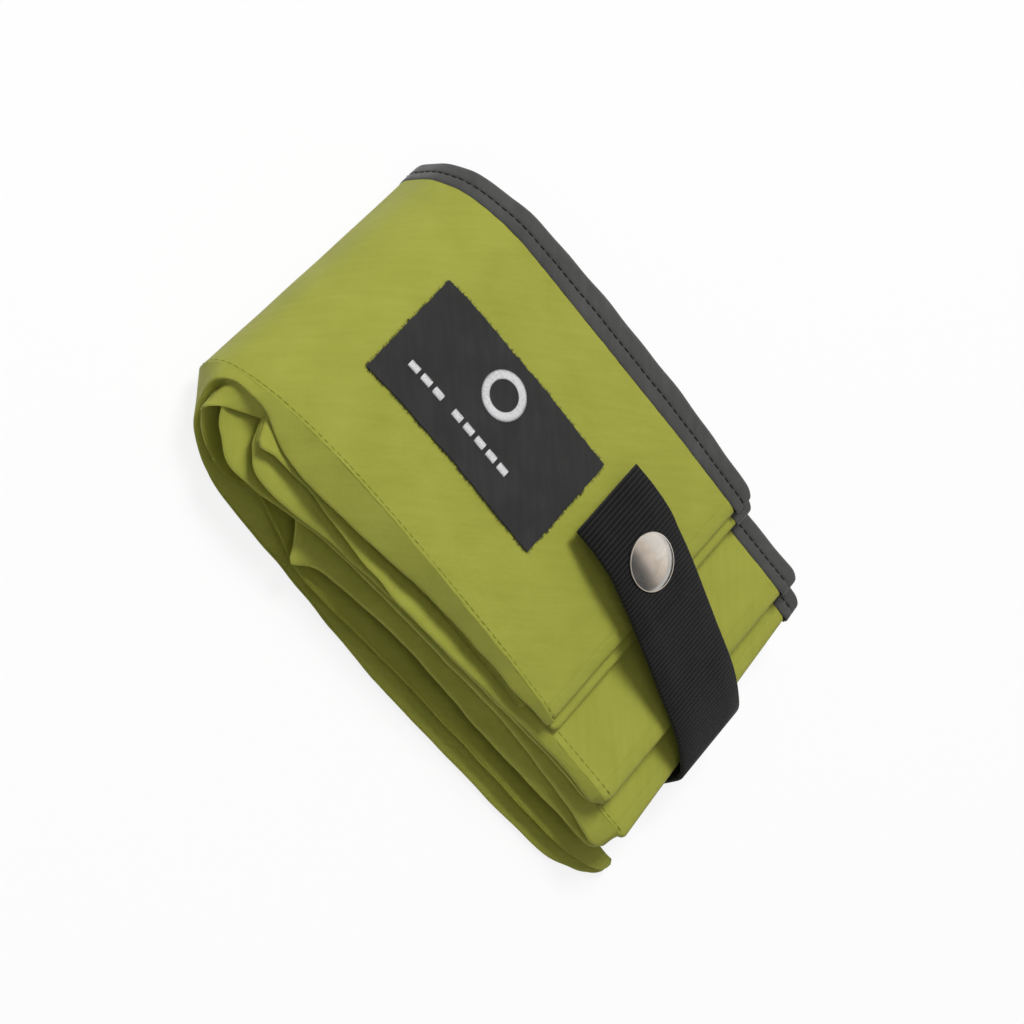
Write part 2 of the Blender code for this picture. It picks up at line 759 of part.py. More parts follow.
def place_on_snap(piece):
    """Stand a turned piece of the snap on the snap's tilted axis."""
    piece.location = snap_place()
    piece.rotation_euler = Euler((0, SNAP_TILT, 0))


def snap_place():
    """Where the snap's axis crosses the middle of the webbing."""
    snap_x = FRONT_OUTER_END - STRAP_SNAP_SETBACK
    along = STRAP_TIP_LENGTH
    return Vector((snap_x, STRAP_TIP_Y + STRAP_DRIFT_SHARE * along, SNAP_LEVEL))


def build_snap(finishes):
    """Cap and socket on the strap, stud and post on the front leaf."""
    seat = STRAP_THICKNESS / 2 + PLY_GAP
    bore = SNAP_STUD_RADIUS + SNAP_STUD_CLEARANCE
    dome = []
    for step in range(DOME_STEPS + 1):
        angle = math.pi / 2 * step / DOME_STEPS
        height = SNAP_CAP_RIM + (SNAP_CAP_HEIGHT - SNAP_CAP_RIM) * math.sin(angle)
        dome.append(((SNAP_CAP_RADIUS - SNAP_CAP_RIM) * math.cos(angle), seat + height))
    cap = [
        (0, PLY_GAP - seat),
        (SNAP_SHANK_RADIUS, PLY_GAP - seat),
        (SNAP_SHANK_RADIUS, seat),
        (SNAP_CAP_RADIUS, seat),
        (SNAP_CAP_RADIUS, seat + SNAP_CAP_RIM),
    ] + dome
    socket = [
        (0, -seat),
        (SNAP_SOCKET_RADIUS, -seat),
        (SNAP_SOCKET_RADIUS, -seat - SNAP_SOCKET_HEIGHT),
        (bore, -seat - SNAP_SOCKET_HEIGHT),
        (bore, -seat - SNAP_SOCKET_ROOF),
        (0, -seat - SNAP_SOCKET_ROOF),
    ]
    stud_top = -seat - SNAP_SOCKET_ROOF - PLY_GAP
    flange_top = -seat - SNAP_SOCKET_HEIGHT - PLY_GAP
    stud = [
        (0, stud_top),
        (SNAP_STUD_RADIUS, stud_top),
        (SNAP_STUD_RADIUS, flange_top),
        (SNAP_FLANGE_RADIUS, flange_top),
        (SNAP_FLANGE_RADIUS, flange_top - SNAP_FLANGE),
        (0, flange_top - SNAP_FLANGE),
    ]
    pieces = {}
    for name, profile in (("snap_cap", cap), ("snap_socket", socket), ("snap_stud", stud)):
        pieces[name] = turned(name, profile, finishes["metal"])
        place_on_snap(pieces[name])
    pieces["snap_post"] = turned("snap_post", post_profile(), finishes["metal"])
    pieces["snap_post"].location = (snap_place().x, snap_place().y, 0)
    return pieces


def post_profile():
    """The rivet that holds the stud: a head in the lining and a plain shank."""
    lining = STACK - LONG_PANEL
    return [
        (0, lining),
        (SNAP_POST_HEAD, lining),
        (SNAP_POST_HEAD, lining + LONG_LINING),
        (SNAP_POST_RADIUS, lining + LONG_LINING),
        (SNAP_POST_RADIUS, STACK),
        (0, STACK),
    ]


def drill(piece, name, centre, radius):
    """Cut a round upright hole through a piece."""
    bpy.ops.mesh.primitive_cylinder_add(
        vertices=TURNED_STEPS,
        radius=radius,
        depth=2 * LEAF,
        location=centre,
    )
    cutter = bpy.context.object
    cutter.name = name
    cutter.hide_render = True
    cutter.display_type = "WIRE"
    cut = piece.modifiers.new("hole", "BOOLEAN")
    cut.operation = "DIFFERENCE"
    cut.object = cutter
    cut.solver = "EXACT"
    return cutter


def leaf_height(x, y):
    """Height of the front leaf's outside, flat or on the fold's shoulder."""
    if x >= SHOULDER_START - PLY_GAP:
        return STACK
    return height_on([fold_place(station, y, 0) for station in outer_stations()], x)


def build_label(finishes):
    """The dark patch on the front leaf, with a plain woven ring."""
    level = STACK + PLY_GAP
    left = LABEL_FROM_FOLD - LABEL_LENGTH / 2
    right = LABEL_FROM_FOLD + LABEL_LENGTH / 2
    side = LABEL_HEIGHT / 2
    bend = SHOULDER_START - left
    rings = []
    for x in [left + bend * step / ARC_STEPS for step in range(ARC_STEPS + 1)] + [right]:
        near, far = leaf_height(x, -side) + PLY_GAP, leaf_height(x, side) + PLY_GAP
        rings.append([
            (x, -side, near),
            (x, -side, near + LABEL_THICKNESS),
            (x, side, far + LABEL_THICKNESS),
            (x, side, far),
        ])
    patch = sweep("label_patch", rings, finishes["label"])
    ring = turned("label_ring", [
        (MOTIF_HOLE, 0),
        (MOTIF_RADIUS, 0),
        (MOTIF_RADIUS, MOTIF_THICKNESS),
        (MOTIF_HOLE, MOTIF_THICKNESS),
    ], finishes["thread"])
    ring_level = level + LABEL_THICKNESS + PLY_GAP
    ring.location = (LABEL_FROM_FOLD + MOTIF_OFFSET_X, MOTIF_OFFSET_Y, ring_level)
    return [patch, ring]


def add_axis(name, place, parent):
    """An empty on a joint's axis, which carries the pieces that move about it."""
    axis = bpy.data.objects.new(name, None)
    axis.empty_display_size = LEAF
    bpy.context.scene.collection.objects.link(axis)
    bpy.context.view_layer.update()
    attach(axis, parent, place)
    return axis


def attach(thing, parent, place=None):
    """Parent a thing and keep it where the bundle's own axes put it."""
    if place is not None:
        thing.location = place
    bpy.context.view_layer.update()
    thing.parent = parent
    thing.matrix_parent_inverse = parent.matrix_world.inverted()


def stand_on_table(bundle):
    """Centre the pack over the origin, with its lowest point on the table."""
    bpy.context.view_layer.update()
    corners = []
    for thing in bpy.data.objects:
        if thing.type == "MESH" and not thing.hide_render:
            corners += [thing.matrix_world @ vert.co for vert in thing.data.vertices]
    low = [min(point[axis] for point in corners) for axis in range(3)]
    high = [max(point[axis] for point in corners) for axis in range(3)]
    bundle.location = (-(low[0] + high[0]) / 2, -(low[1] + high[1]) / 2, -low[2])
    bpy.context.view_layer.update()


def main():
    """Build every piece, hang the moving ones on their axes and stand the pack up."""
    clear_scene()
    finishes = {
        "green": Finish("olive_fabric", (0.36, 0.38, 0.06), 0.62),
        "board": Finish("stiffener_board", (0.55, 0.50, 0.42), 0.80),
        "lining": Finish("coated_lining", (0.28, 0.29, 0.12), 0.45),
        "tape": Finish("grey_rim_tape", (0.07, 0.07, 0.068), 0.75),
        "webbing": Finish("black_webbing", (0.02, 0.02, 0.02), 0.80),
        "metal": Finish("nickel", (0.60, 0.57, 0.53), 0.28, 1.0),
        "label": Finish("label_cloth", (0.035, 0.035, 0.035), 0.85),
        "thread": Finish("label_thread", (0.85, 0.85, 0.86), 0.80),
    }
    front = build_front_half(finishes)
    back = build_back_half(finishes)
    folds = build_outer_fold(finishes) + build_inner_fold(finishes)
    tab, span, root = build_strap(finishes)
    snap = build_snap(finishes)
    label = build_label(finishes)

    by_name = {piece.name: piece for piece in front}
    middle = snap_place()
    seat = (middle.x, middle.y, STACK)
    hole = SNAP_POST_RADIUS + PLY_GAP
    cutters = [
        drill(by_name["long_wall_a_front_cover"], "cut_cover", seat, hole),
        drill(by_name["long_wall_a_front_board"], "cut_board", seat, hole),
        drill(by_name["long_wall_a_front_lining"], "cut_lining", seat, SNAP_POST_HEAD + PLY_GAP),
        drill(tab, "cut_tab", middle, SNAP_SHANK_RADIUS + PLY_GAP),
    ]

    bundle = bpy.data.objects.new("bundle", None)
    bpy.context.scene.collection.objects.link(bundle)
    routes = strap_routes()
    unfold = add_axis("unfold_axis", (0, 0, FOLD_LEVEL), bundle)
    swing = add_axis("strap_swing_axis", (routes[2][0][0], 0, routes[2][0][1]), bundle)
    lift = add_axis("strap_lift_axis", (routes[1][0][0], 0, routes[1][0][1]), swing)
    for piece in back + folds + [root]:
        attach(piece, bundle)
    for piece in front + label + [snap["snap_stud"], snap["snap_post"]] + cutters[:3]:
        attach(piece, unfold)
    attach(span, swing)
    for piece in [tab, snap["snap_cap"], snap["snap_socket"], cutters[3]]:
        attach(piece, lift)
    stand_on_table(bundle)


main()
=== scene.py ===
"""Looks of a foldable litter box, packed flat, folded in half and held by a snap strap.

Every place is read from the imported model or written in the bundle's own axes: X from
the fold to the free ends, Y from the base side to the rim, Z up from the table.
"""
import json
import logging
import math
from dataclasses import dataclass
from enum import Enum
from typing import Callable, Sequence

import bpy
import numpy as np
from mathutils import Matrix, Vector, noise


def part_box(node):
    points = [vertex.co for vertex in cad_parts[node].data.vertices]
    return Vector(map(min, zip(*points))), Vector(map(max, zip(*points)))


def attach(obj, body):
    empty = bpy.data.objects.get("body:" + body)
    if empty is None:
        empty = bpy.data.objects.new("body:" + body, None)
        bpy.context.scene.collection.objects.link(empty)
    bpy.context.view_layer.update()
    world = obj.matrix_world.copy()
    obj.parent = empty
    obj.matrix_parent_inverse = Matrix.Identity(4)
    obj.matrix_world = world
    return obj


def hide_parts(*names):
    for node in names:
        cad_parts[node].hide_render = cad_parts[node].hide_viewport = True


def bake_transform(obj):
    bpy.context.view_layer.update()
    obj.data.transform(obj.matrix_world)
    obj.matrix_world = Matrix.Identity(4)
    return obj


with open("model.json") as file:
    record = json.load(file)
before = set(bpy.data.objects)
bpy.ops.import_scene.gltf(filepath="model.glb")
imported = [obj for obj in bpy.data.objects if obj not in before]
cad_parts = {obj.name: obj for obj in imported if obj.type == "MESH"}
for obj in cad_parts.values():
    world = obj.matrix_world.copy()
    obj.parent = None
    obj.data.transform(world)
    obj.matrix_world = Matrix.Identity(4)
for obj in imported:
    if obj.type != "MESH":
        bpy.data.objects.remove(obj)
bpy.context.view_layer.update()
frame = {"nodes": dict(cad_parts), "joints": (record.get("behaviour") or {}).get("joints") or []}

LOG = logging.getLogger("litter_box")
MM = 0.001
# Where the base seam, the cover's rim and the wall's rim lie across the bundle
SEAM_Y = -50 * MM
COVER_RIM_Y = 50 * MM
RIM_Y = 60 * MM
Points = np.ndarray
Line = Sequence[Sequence[float]]
Socket = bpy.types.NodeSocket
Piece = bpy.types.Object
Finish = bpy.types.Material


class Side(Enum):
    """Which way a wall's outer face looks from its profile line."""

    LEFT = 1.0
    RIGHT = -1.0


# Materials


class Nodes:
    """A short way to add and join shader nodes."""

    def __init__(self, owner: bpy.types.ID) -> None:
        """Take up the nodes of a new material or world."""
        self.owner = owner
        owner.use_nodes = True
        self.tree = owner.node_tree
        self.shader = self.tree.nodes.get("Principled BSDF")

    def add(self, kind: str, **values: object) -> bpy.types.Node:
        """Add a node; values set its properties, or its sockets by name.

        Args:
            kind: The node's type without the ShaderNode prefix.
            values: Properties, or sockets with spaces written as underscores.

        Returns:
            The new node.
        """
        node = self.tree.nodes.new("ShaderNode" + kind)
        for key, value in values.items():
            if hasattr(node, key):
                setattr(node, key, value)
            else:
                node.inputs[key.replace("_", " ")].default_value = value
        return node

    def link(self, source: Socket, target: Socket) -> None:
        """Join an output to an input."""
        self.tree.links.new(source, target)

    def math(self, operation: str, first: object, second: object = None) -> Socket:
        """A math node on sockets or numbers.

        Args:
            operation: The node's operation.
            first: A socket or a number.
            second: A socket, a number or nothing.

        Returns:
            The result's socket.
        """
        node = self.add("Math", operation=operation)
        for slot, value in enumerate((first, second)):
            if isinstance(value, Socket):
                self.link(value, node.inputs[slot])
            elif value is not None:
                node.inputs[slot].default_value = value
        return node.outputs[0]

    def ramp(self, value: Socket, stops: Sequence[tuple]) -> Socket:
        """A colour ramp over a value.

        Args:
            value: The socket that drives the ramp.
            stops: Pairs of a position and an RGB colour.

        Returns:
            The colour's socket.
        """
        node = self.add("ValToRGB")
        self.link(value, node.inputs["Fac"])
        elements = node.color_ramp.elements
        while len(elements) < len(stops):
            elements.new(0.5)
        for element, (position, colour) in zip(elements, stops):
            element.position = position
            element.color = (*colour, 1.0)
        return node.outputs["Color"]

    def bump(self, height: Socket, distance: float, strength: float = 1.0, under: Socket = None) -> Socket:
        """A bump node, on top of another one if given.

        Args:
            height: The height's socket.
            distance: The relief's depth in metres.
            strength: How much of it is used.
            under: The normal that it starts from.

        Returns:
            The normal's socket.
        """
        node = self.add("Bump", Strength=strength, Distance=distance)
        self.link(height, node.inputs["Height"])
        if under is not None:
            self.link(under, node.inputs["Normal"])
        return node.outputs["Normal"]

    def mapped(self, place: Socket, **values: tuple) -> Socket:
        """A place that is turned or scaled."""
        node = self.add("Mapping", vector_type="POINT", **values)
        self.link(place, node.inputs["Vector"])
        return node.outputs["Vector"]

    def noise(self, place: Socket, scale: float, detail: float, **values: float) -> Socket:
        """Smooth noise over a place."""
        node = self.add("TexNoise", Scale=scale, Detail=detail, **values)
        self.link(place, node.inputs["Vector"])
        return node.outputs["Fac"]

    def axes(self, place: Socket) -> tuple[Socket, Socket]:
        """A place's X and Y."""
        node = self.add("SeparateXYZ")
        self.link(place, node.inputs["Vector"])
        return node.outputs["X"], node.outputs["Y"]

    def sine(self, value: Socket, period: float) -> Socket:
        """A wave along a value."""
        return self.math("SINE", self.math("MULTIPLY", value, math.tau / period))

    def varied(self, middle: float, value: Socket, spread: float = 0.16) -> Socket:
        """A number that varies about its middle with a value from 0 to 1."""
        return self.math("ADD", middle - spread / 2, self.math("MULTIPLY", value, spread))

    def total(self, *shares: tuple[Socket, float]) -> Socket:
        """The sum of some values, each times its share."""
        parts = [self.math("MULTIPLY", value, share) for value, share in shares]
        result = parts[0]
        for part in parts[1:]:
            result = self.math("ADD", result, part)
        return result

    def finish(self, **values: object) -> Finish:
        """Join sockets and numbers to the shader's inputs of the same names.

        Args:
            values: Sockets or constants, with spaces in the names written as underscores.

        Returns:
            The finished material.
        """
        for key, value in values.items():
            socket = self.shader.inputs[key.replace("_", " ")]
            if isinstance(value, Socket):
                self.link(value, socket)
            else:
                socket.default_value = value
        return self.owner

    def show_mix(self, share: Socket, first: Socket, second: Socket, output: str) -> None:
        """Join a mix of two shaders to an output.

        Args:
            share: How much of the second one shows.
            first: One shader.
            second: The other one.
            output: The output node's name.
        """
        mix = self.add("MixShader")
        self.link(share, mix.inputs["Fac"])
        self.link(first, mix.inputs[1])
        self.link(second, mix.inputs[2])
        self.link(mix.outputs["Shader"], self.tree.nodes[output].inputs["Surface"])


def shade(colour: tuple, share: float) -> tuple:
    """A darker or a paler form of a colour."""
    return tuple(share * part for part in colour)


@dataclass(frozen=True)
class Cloth:
    """A woven fabric with yarns, slow creases and a fine ripple.

    Patterns follow the piece's own UV map, which is in metres.
    """

    name: str
    colour: tuple
    dark: tuple
    pale: tuple
    roughness: float = 0.6
    sheen: float = 0.15
    yarn: float = 0.5 * MM
    yarn_depth: float = 0.05 * MM
    ripple: float = 2.2 * MM
    ripple_depth: float = 0.10 * MM
    ripple_turn: float = math.radians(-43.5)
    crease: float = 16 * MM
    crease_depth: float = 0.5 * MM

    def build(self) -> Finish:
        """Make the material."""
        n = Nodes(bpy.data.materials.new(self.name))
        place = n.add("UVMap").outputs["UV"]
        turned = n.mapped(place, Rotation=(0, 0, self.ripple_turn))
        drawn = n.mapped(turned, Scale=(0.12 / self.ripple, 1 / self.ripple, 1))
        ripple = n.noise(drawn, 1.0, 3.0, Roughness=0.55)
        crease = n.noise(place, 1 / self.crease, 4.0, Roughness=0.5, Distortion=0.6)
        fleck = n.noise(place, 1 / (2 * self.yarn), 2.0)
        x, y = n.axes(place)
        weave = n.math("MULTIPLY", n.sine(x, self.yarn), n.sine(y, self.yarn))
        # Colour follows the crease and ripple noises that also shape the bump: painted shade in their
        # hollows and painted highlight on their crests; the fleck adds tone at random.
        tone_and_painted_shade = n.total((crease, 0.5), (ripple, 0.35), (fleck, 0.15))
        normal = n.bump(crease, self.crease_depth, 0.6)
        normal = n.bump(ripple, self.ripple_depth, 0.8, normal)
        normal = n.bump(weave, self.yarn_depth, 0.5, normal)
        return n.finish(
            Base_Color=n.ramp(tone_and_painted_shade, [(0.30, self.dark), (0.5, self.colour), (0.70, self.pale)]),
            Normal=normal, Roughness=n.varied(self.roughness, fleck), Sheen_Weight=self.sheen,
            Sheen_Roughness=0.4, Specular_IOR_Level=0.35,
        )


@dataclass(frozen=True)
class Webbing:
    """Ribbed webbing: cross ribs, and yarns that run along it."""

    name: str
    colour: tuple
    rib: float = 1.45 * MM
    yarn: float = 0.6 * MM
    fleck: float = 0.8 * MM
    patch: float = 9 * MM

    def build(self) -> Finish:
        """Make the material."""
        n = Nodes(bpy.data.materials.new(self.name))
        place = n.add("UVMap").outputs["UV"]
        x, y = n.axes(place)
        ribs = n.sine(x, self.rib)
        yarn = n.math("MULTIPLY", ribs, n.sine(y, self.yarn))
        fleck = n.noise(place, 1 / self.fleck, 3.0)
        slow = n.noise(place, 1 / self.patch, 2.0)
        # The ribs' sine paints pale and dark bands across the strap: painted highlight and shade on its
        # ribs; fleck and slow patches add tone at random.
        tone_and_painted_shade = n.total((fleck, 0.25), (slow, 0.25), (n.math("ADD", ribs, 1.0), 0.25))
        stops = [(0.25, shade(self.colour, 0.35)), (0.5, self.colour), (0.75, shade(self.colour, 1.9))]
        return n.finish(
            Base_Color=n.ramp(tone_and_painted_shade, stops),
            Normal=n.bump(fleck, 0.05 * MM, 0.4, n.bump(yarn, 0.04 * MM, 0.5)),
            Roughness=0.72, Sheen_Weight=0.08, Specular_IOR_Level=0.25,
        )


@dataclass(frozen=True)
class Metal:
    """Plated metal with a soft brushed grain and faint rub marks."""

    name: str
    colour: tuple
    roughness: float = 0.2

    def build(self) -> Finish:
        """Make the material."""
        n = Nodes(bpy.data.materials.new(self.name))
        place = n.add("TexCoord").outputs["Object"]
        grain = n.noise(place, 900.0, 3.0)
        marks = n.noise(place, 180.0, 4.0, Distortion=1.2)
        return n.finish(
            Base_Color=n.ramp(marks, [(0.35, shade(self.colour, 0.86)), (0.6, self.colour)]),
            Normal=n.bump(grain, 0.005 * MM, 0.25), Roughness=n.varied(self.roughness, marks), Metallic=1.0,
        )


@dataclass(frozen=True)
class Board:
    """Grey board with pressed fibres."""

    name: str
    colour: tuple

    def build(self) -> Finish:
        """Make the material."""
        n = Nodes(bpy.data.materials.new(self.name))
        fibre = n.noise(n.add("TexCoord").outputs["Object"], 1400.0, 5.0, Roughness=0.65)
        return n.finish(
            Base_Color=n.ramp(fibre, [(0.35, shade(self.colour, 0.75)), (0.6, self.colour)]),
            Normal=n.bump(fibre, 0.05 * MM, 0.6), Roughness=0.85,
        )


# Curves and sheets


def smooth_line(points: Line, steps: int) -> Points:
    """A smooth curve through every point, with the same steps in each stretch.

    Args:
        points: The points to pass through.
        steps: Steps between one point and the next.

    Returns:
        The curve's points.
    """
    knots = np.array([points[0], *points, points[-1]], float)
    rows = []
    for before, start, end, after in zip(knots, knots[1:], knots[2:], knots[3:]):
        for step in range(steps):
            t = step / steps
            rows.append(start + 0.5 * (
                (end - before) * t
                + (2 * before - 5 * start + 4 * end - after) * t ** 2
                + (3 * start - before - 3 * end + after) * t ** 3
            ))
    rows.append(knots[-1])
    return np.array(rows)


def lengths_along(points: Points) -> Points:
    """Running length at each point of a curve."""
    steps = np.linalg.norm(np.diff(points, axis=0), axis=1)
    return np.concatenate([[0.0], np.cumsum(steps)])


def at_lengths(points: Points, run: Points, wanted: Points) -> Points:
    """Places on a curve where its running length has some values."""
    return np.stack([np.interp(wanted, run, points[:, k]) for k in range(points.shape[1])], axis=1)


# Added to lengths that may be zero before they divide
TINY = 1e-12


def unit(vectors: Points, least: float = TINY) -> Points:
    """The same directions with a length of one."""
    return vectors / (np.linalg.norm(vectors, axis=-1, keepdims=True) + least)


def left_of(line: Points, least: float = 0.0) -> Points:
    """The way to the left at each place of a line in X and Z."""
    slope = unit(np.gradient(line, axis=0), least)
    return np.stack([-slope[:, 1], slope[:, 0]], axis=1)


def in_space(flat: Points, y: float = 0.0) -> Points:
    """Places or ways in X and Z as ones in space, at one Y."""
    return np.insert(flat, 1, y, axis=1)


def evenly(points: Points, count: int) -> Points:
    """The same curve with a number of points spaced evenly along it.

    Args:
        points: The curve.
        count: How many points to return.

    Returns:
        The evenly spaced points.
    """
    run = lengths_along(points)
    return at_lengths(points, run, np.linspace(0, run[-1], count))


def at_x(points: Line, x: Points, steps: int = 8) -> Points:
    """Values of a smooth curve where its first number is x.

    Args:
        points: Rows that start with x, in rising order of x.
        x: Where the curve is wanted.
        steps: Smoothness of the curve.

    Returns:
        One column for each further number of the rows.
    """
    curve = smooth_line(points, steps)
    return at_lengths(curve[:, 1:], np.maximum.accumulate(curve[:, 0]), x)


def rounded_section(rails: Sequence[Points], radii: Sequence[float], flats: Sequence[int],
                    turns: int = 4) -> Points:
    """Rows of a pleated cross-section whose corners on the rails are rounded.

    Args:
        rails: The same number of places for each line of the pleats.
        radii: How far from each inner rail its rounding starts.
        flats: Steps on each flat between two rails.
        turns: Steps round each rail.

    Returns:
        An array of places, by row along the rails and column across them.
    """
    columns = [rails[0]]
    ends = []
    for number in range(1, len(rails) - 1):
        before, here, after = rails[number - 1:number + 2]
        back = before - here
        ahead = after - here
        back_length = np.linalg.norm(back, axis=1, keepdims=True) + 1e-9
        ahead_length = np.linalg.norm(ahead, axis=1, keepdims=True) + 1e-9
        reach = np.minimum(radii[number - 1], 0.45 * np.minimum(back_length, ahead_length))
        ends.append((here + back / back_length * reach, here, here + ahead / ahead_length * reach))
    last = rails[0]
    for number, (start, corner, end) in enumerate(ends):
        for step in range(1, flats[number] + 1):
            columns.append(last + (start - last) * step / flats[number])
        for step in range(1, turns + 1):
            t = step / turns
            columns.append(start * (1 - t) ** 2 + corner * 2 * t * (1 - t) + end * t ** 2)
        last = end
    for step in range(1, flats[-1] + 1):
        columns.append(last + (rails[-1] - last) * step / flats[-1])
    return np.stack(columns, axis=1)


def wrinkled(points: Points, depth: float, pitch: float, seed: float) -> Points:
    """Move a sheet's points by smooth noise, as limp cloth lies.

    Args:
        points: Places by row and column.
        depth: How far the cloth moves at most.
        pitch: Size of one wrinkle.
        seed: Picks another pattern.

    Returns:
        The moved places.
    """
    moved = points.copy()
    for row in moved:
        for place in row:
            spot = Vector((place[0] / pitch, place[1] / pitch, place[2] / pitch + seed))
            place[1] += depth * noise.noise(spot)
            place[2] += depth * noise.noise(spot + Vector((7.3, 1.9, 4.1)))
    return moved


class Bench:
    """Where the bundle lies in the frame, and the way pieces are put there."""

    def __init__(self) -> None:
        """Read the bundle's origin from the fold's joint and the label."""
        joints = {joint["name"]: joint for joint in frame["joints"]}
        low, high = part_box("label_patch")
        self.origin = np.array([joints["half_unfold"]["pos_m"][0], (low.y + high.y) / 2, 0.0])

    def place(self, points: Points) -> Points:
        """Bundle places as places in the frame."""
        return np.asarray(points, float) + self.origin

    def box(self, node: str) -> tuple[Vector, Vector]:
        """A node's corners in the bundle's axes."""
        low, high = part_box(node)
        shift = Vector(self.origin)
        return low - shift, high - shift


BENCH = Bench()


def dress(piece: Piece, slot: str, body: str, *nodes: str) -> None:
    """Put a piece on its body, and hide the nodes that it stands for."""
    if nodes:
        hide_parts(*nodes)
    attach(piece, body)


def select_only(piece: Piece) -> None:
    """Make a piece the only selected one."""
    bpy.ops.object.select_all(action="DESELECT")
    bpy.context.view_layer.objects.active = piece
    piece.select_set(True)


def tidy_normals() -> None:
    """Turn every face of the piece in edit mode outwards, and leave edit mode."""
    bpy.ops.mesh.select_all(action="SELECT")
    bpy.ops.mesh.normals_make_consistent(inside=False)
    bpy.ops.object.mode_set(mode="OBJECT")


def apply_modifiers(piece: Piece) -> None:
    """Apply a piece's modifiers in order."""
    select_only(piece)
    for modifier in list(piece.modifiers):
        bpy.ops.object.modifier_apply(modifier=modifier.name)


def make_sheet(name: str, points: Points, thickness: float, material: Finish,
               offset: float = -1.0, smooth: float = 50.0) -> Piece:
    """Sew a grid of places into a sheet of cloth with a real thickness.

    Args:
        name: The piece's name.
        points: Places by row and column, in the bundle's axes.
        thickness: The cloth's thickness.
        material: Its finish.
        offset: Which side of the places the thickness lies on, from -1 to 1.
        smooth: Edges below this angle, in degrees, are shaded smooth.

    Returns:
        The finished piece.
    """
    rows, columns = points.shape[:2]
    bpy.ops.object.select_all(action="DESELECT")
    bpy.ops.mesh.primitive_grid_add(x_subdivisions=columns - 1, y_subdivisions=rows - 1)
    piece = bpy.context.object
    piece.name = name
    piece.data.name = name
    piece.data.vertices.foreach_set("co", BENCH.place(points).reshape(-1, 3).astype(np.float32).ravel())
    along = np.stack([lengths_along(points[:, column]) for column in range(columns)], axis=1)
    across = np.stack([lengths_along(points[row]) for row in range(rows)], axis=0)
    loops = np.zeros(len(piece.data.loops), np.int32)
    piece.data.loops.foreach_get("vertex_index", loops)
    uv = np.stack([along.ravel()[loops], across.ravel()[loops]], axis=1)
    piece.data.uv_layers[0].data.foreach_set("uv", uv.astype(np.float32).ravel())
    piece.data.update()
    solid = piece.modifiers.new("thickness", "SOLIDIFY")
    solid.thickness = thickness
    solid.offset = offset
    solid.use_even_offset = False
    solid.thickness_clamp = 0.5
    apply_modifiers(piece)
    bpy.ops.object.shade_smooth_by_angle(angle=math.radians(smooth))
    piece.data.materials.clear()
    piece.data.materials.append(material)
    return piece


def make_threads(name: str, places: Points, ways: Points, outs: Points, sizes: Points,
                 material: Finish) -> Piece:
    """Short plump threads, each from one small shape laid along its own way.

    Args:
        name: The piece's name.
        places: The middle of each thread, in the bundle's axes.
        ways: The way that each one runs.
        outs: The way out of the cloth at each.
        sizes: Length, width and height of each.
        material: The thread's finish.

    Returns:
        The threads as one piece.
    """
    bpy.ops.object.select_all(action="DESELECT")
    bpy.ops.mesh.primitive_uv_sphere_add(segments=6, ring_count=5, radius=0.5, rotation=(0, math.pi / 2, 0))
    piece = bpy.context.object
    bpy.ops.object.transform_apply(location=False, rotation=True, scale=False)
    piece.name = name
    piece.data.name = name
    shape = np.array([vert.co for vert in piece.data.vertices], float)
    faces = [tuple(face.vertices) for face in piece.data.polygons]
    ways = unit(np.asarray(ways, float))
    outs = np.asarray(outs, float)
    outs = unit(outs - ways * np.sum(outs * ways, axis=1, keepdims=True))
    sides = np.cross(outs, ways)
    scaled = shape[None, :, :] * np.asarray(sizes, float)[:, None, :]
    verts = (places[:, None, :] + scaled[:, :, :1] * ways[:, None, :] + scaled[:, :, 1:2] * sides[:, None, :]
             + scaled[:, :, 2:] * outs[:, None, :])
    polygons = [tuple(number * len(shape) + index for index in face)
                for number in range(len(places)) for face in faces]
    data = bpy.data.meshes.new(name)
    data.from_pydata(BENCH.place(verts.reshape(-1, 3)).tolist(), [], polygons)
    data.shade_smooth()
    data.materials.append(material)
    piece.data = data
    return piece


def stitch_row(name: str, line: Points, normals: Points, pitch: float, length: float,
               width: float, material: Finish) -> Piece:
    """A row of stitches along a line.

    Args:
        name: The piece's name.
        line: The places that the row follows.
        normals: The way out of the cloth at each place.
        pitch: From one stitch to the next.
        length: One stitch's length.
        width: One stitch's width.
        material: The thread's finish.

    Returns:
        The row as one piece.
    """
    run = lengths_along(line)
    centres = (np.arange(int(run[-1] / pitch)) + 0.5) * pitch
    here = at_lengths(line, run, centres)
    ahead = at_lengths(line, run, centres + length / 2)
    out = at_lengths(normals, run, centres)
    sizes = np.tile([length, width, width], (len(centres), 1))
    return make_threads(name, here, ahead - here, out, sizes, material)


# Walls

# How the cover rolls over a free end: millimetres from the end, and share of the depth
END_ROLL = [
    (7.0, 1.0), (4.0, 1.0), (1.6, 0.98), (0.4, 0.88), (0.0, 0.70), (0.1, 0.50), (0.5, 0.32), (1.2, 0.20),
    (2.6, 0.11), (4.0, 0.055), (4.7, 0.03), (5.0, 0.05), (5.3, 0.01), (6.5, 0.0),
]
# How the tape closes over a free end: millimetres from the end, and share of its thickness
TAPE_NOSE = [
    (-0.95, 0.3), (-0.85, 0.53), (-0.6, 0.8), (-0.3, 0.954), (0.0, 1.0), (0.3, 1.0), (0.8, 1.0), (1.4, 1.0),
    (2.0, 1.0), (2.8, 1.0), (3.6, 1.0),
]
# The sewn groove of the tape: millimetres from its middle, and how deep it lies
TAPE_GROOVE = [(-1.1, 0.0), (-0.55, 0.08), (-0.2, 0.34), (0.2, 0.34), (0.55, 0.08), (1.1, 0.0)]


@dataclass
class Outfit:
    """The finishes that the pieces share."""

    cover: Finish
    lining: Finish
    tape: Finish
    thread: Finish
    green_thread: Finish
    webbing: Finish
    metal: Finish
    board: Finish
    label: Finish
    motif: Finish


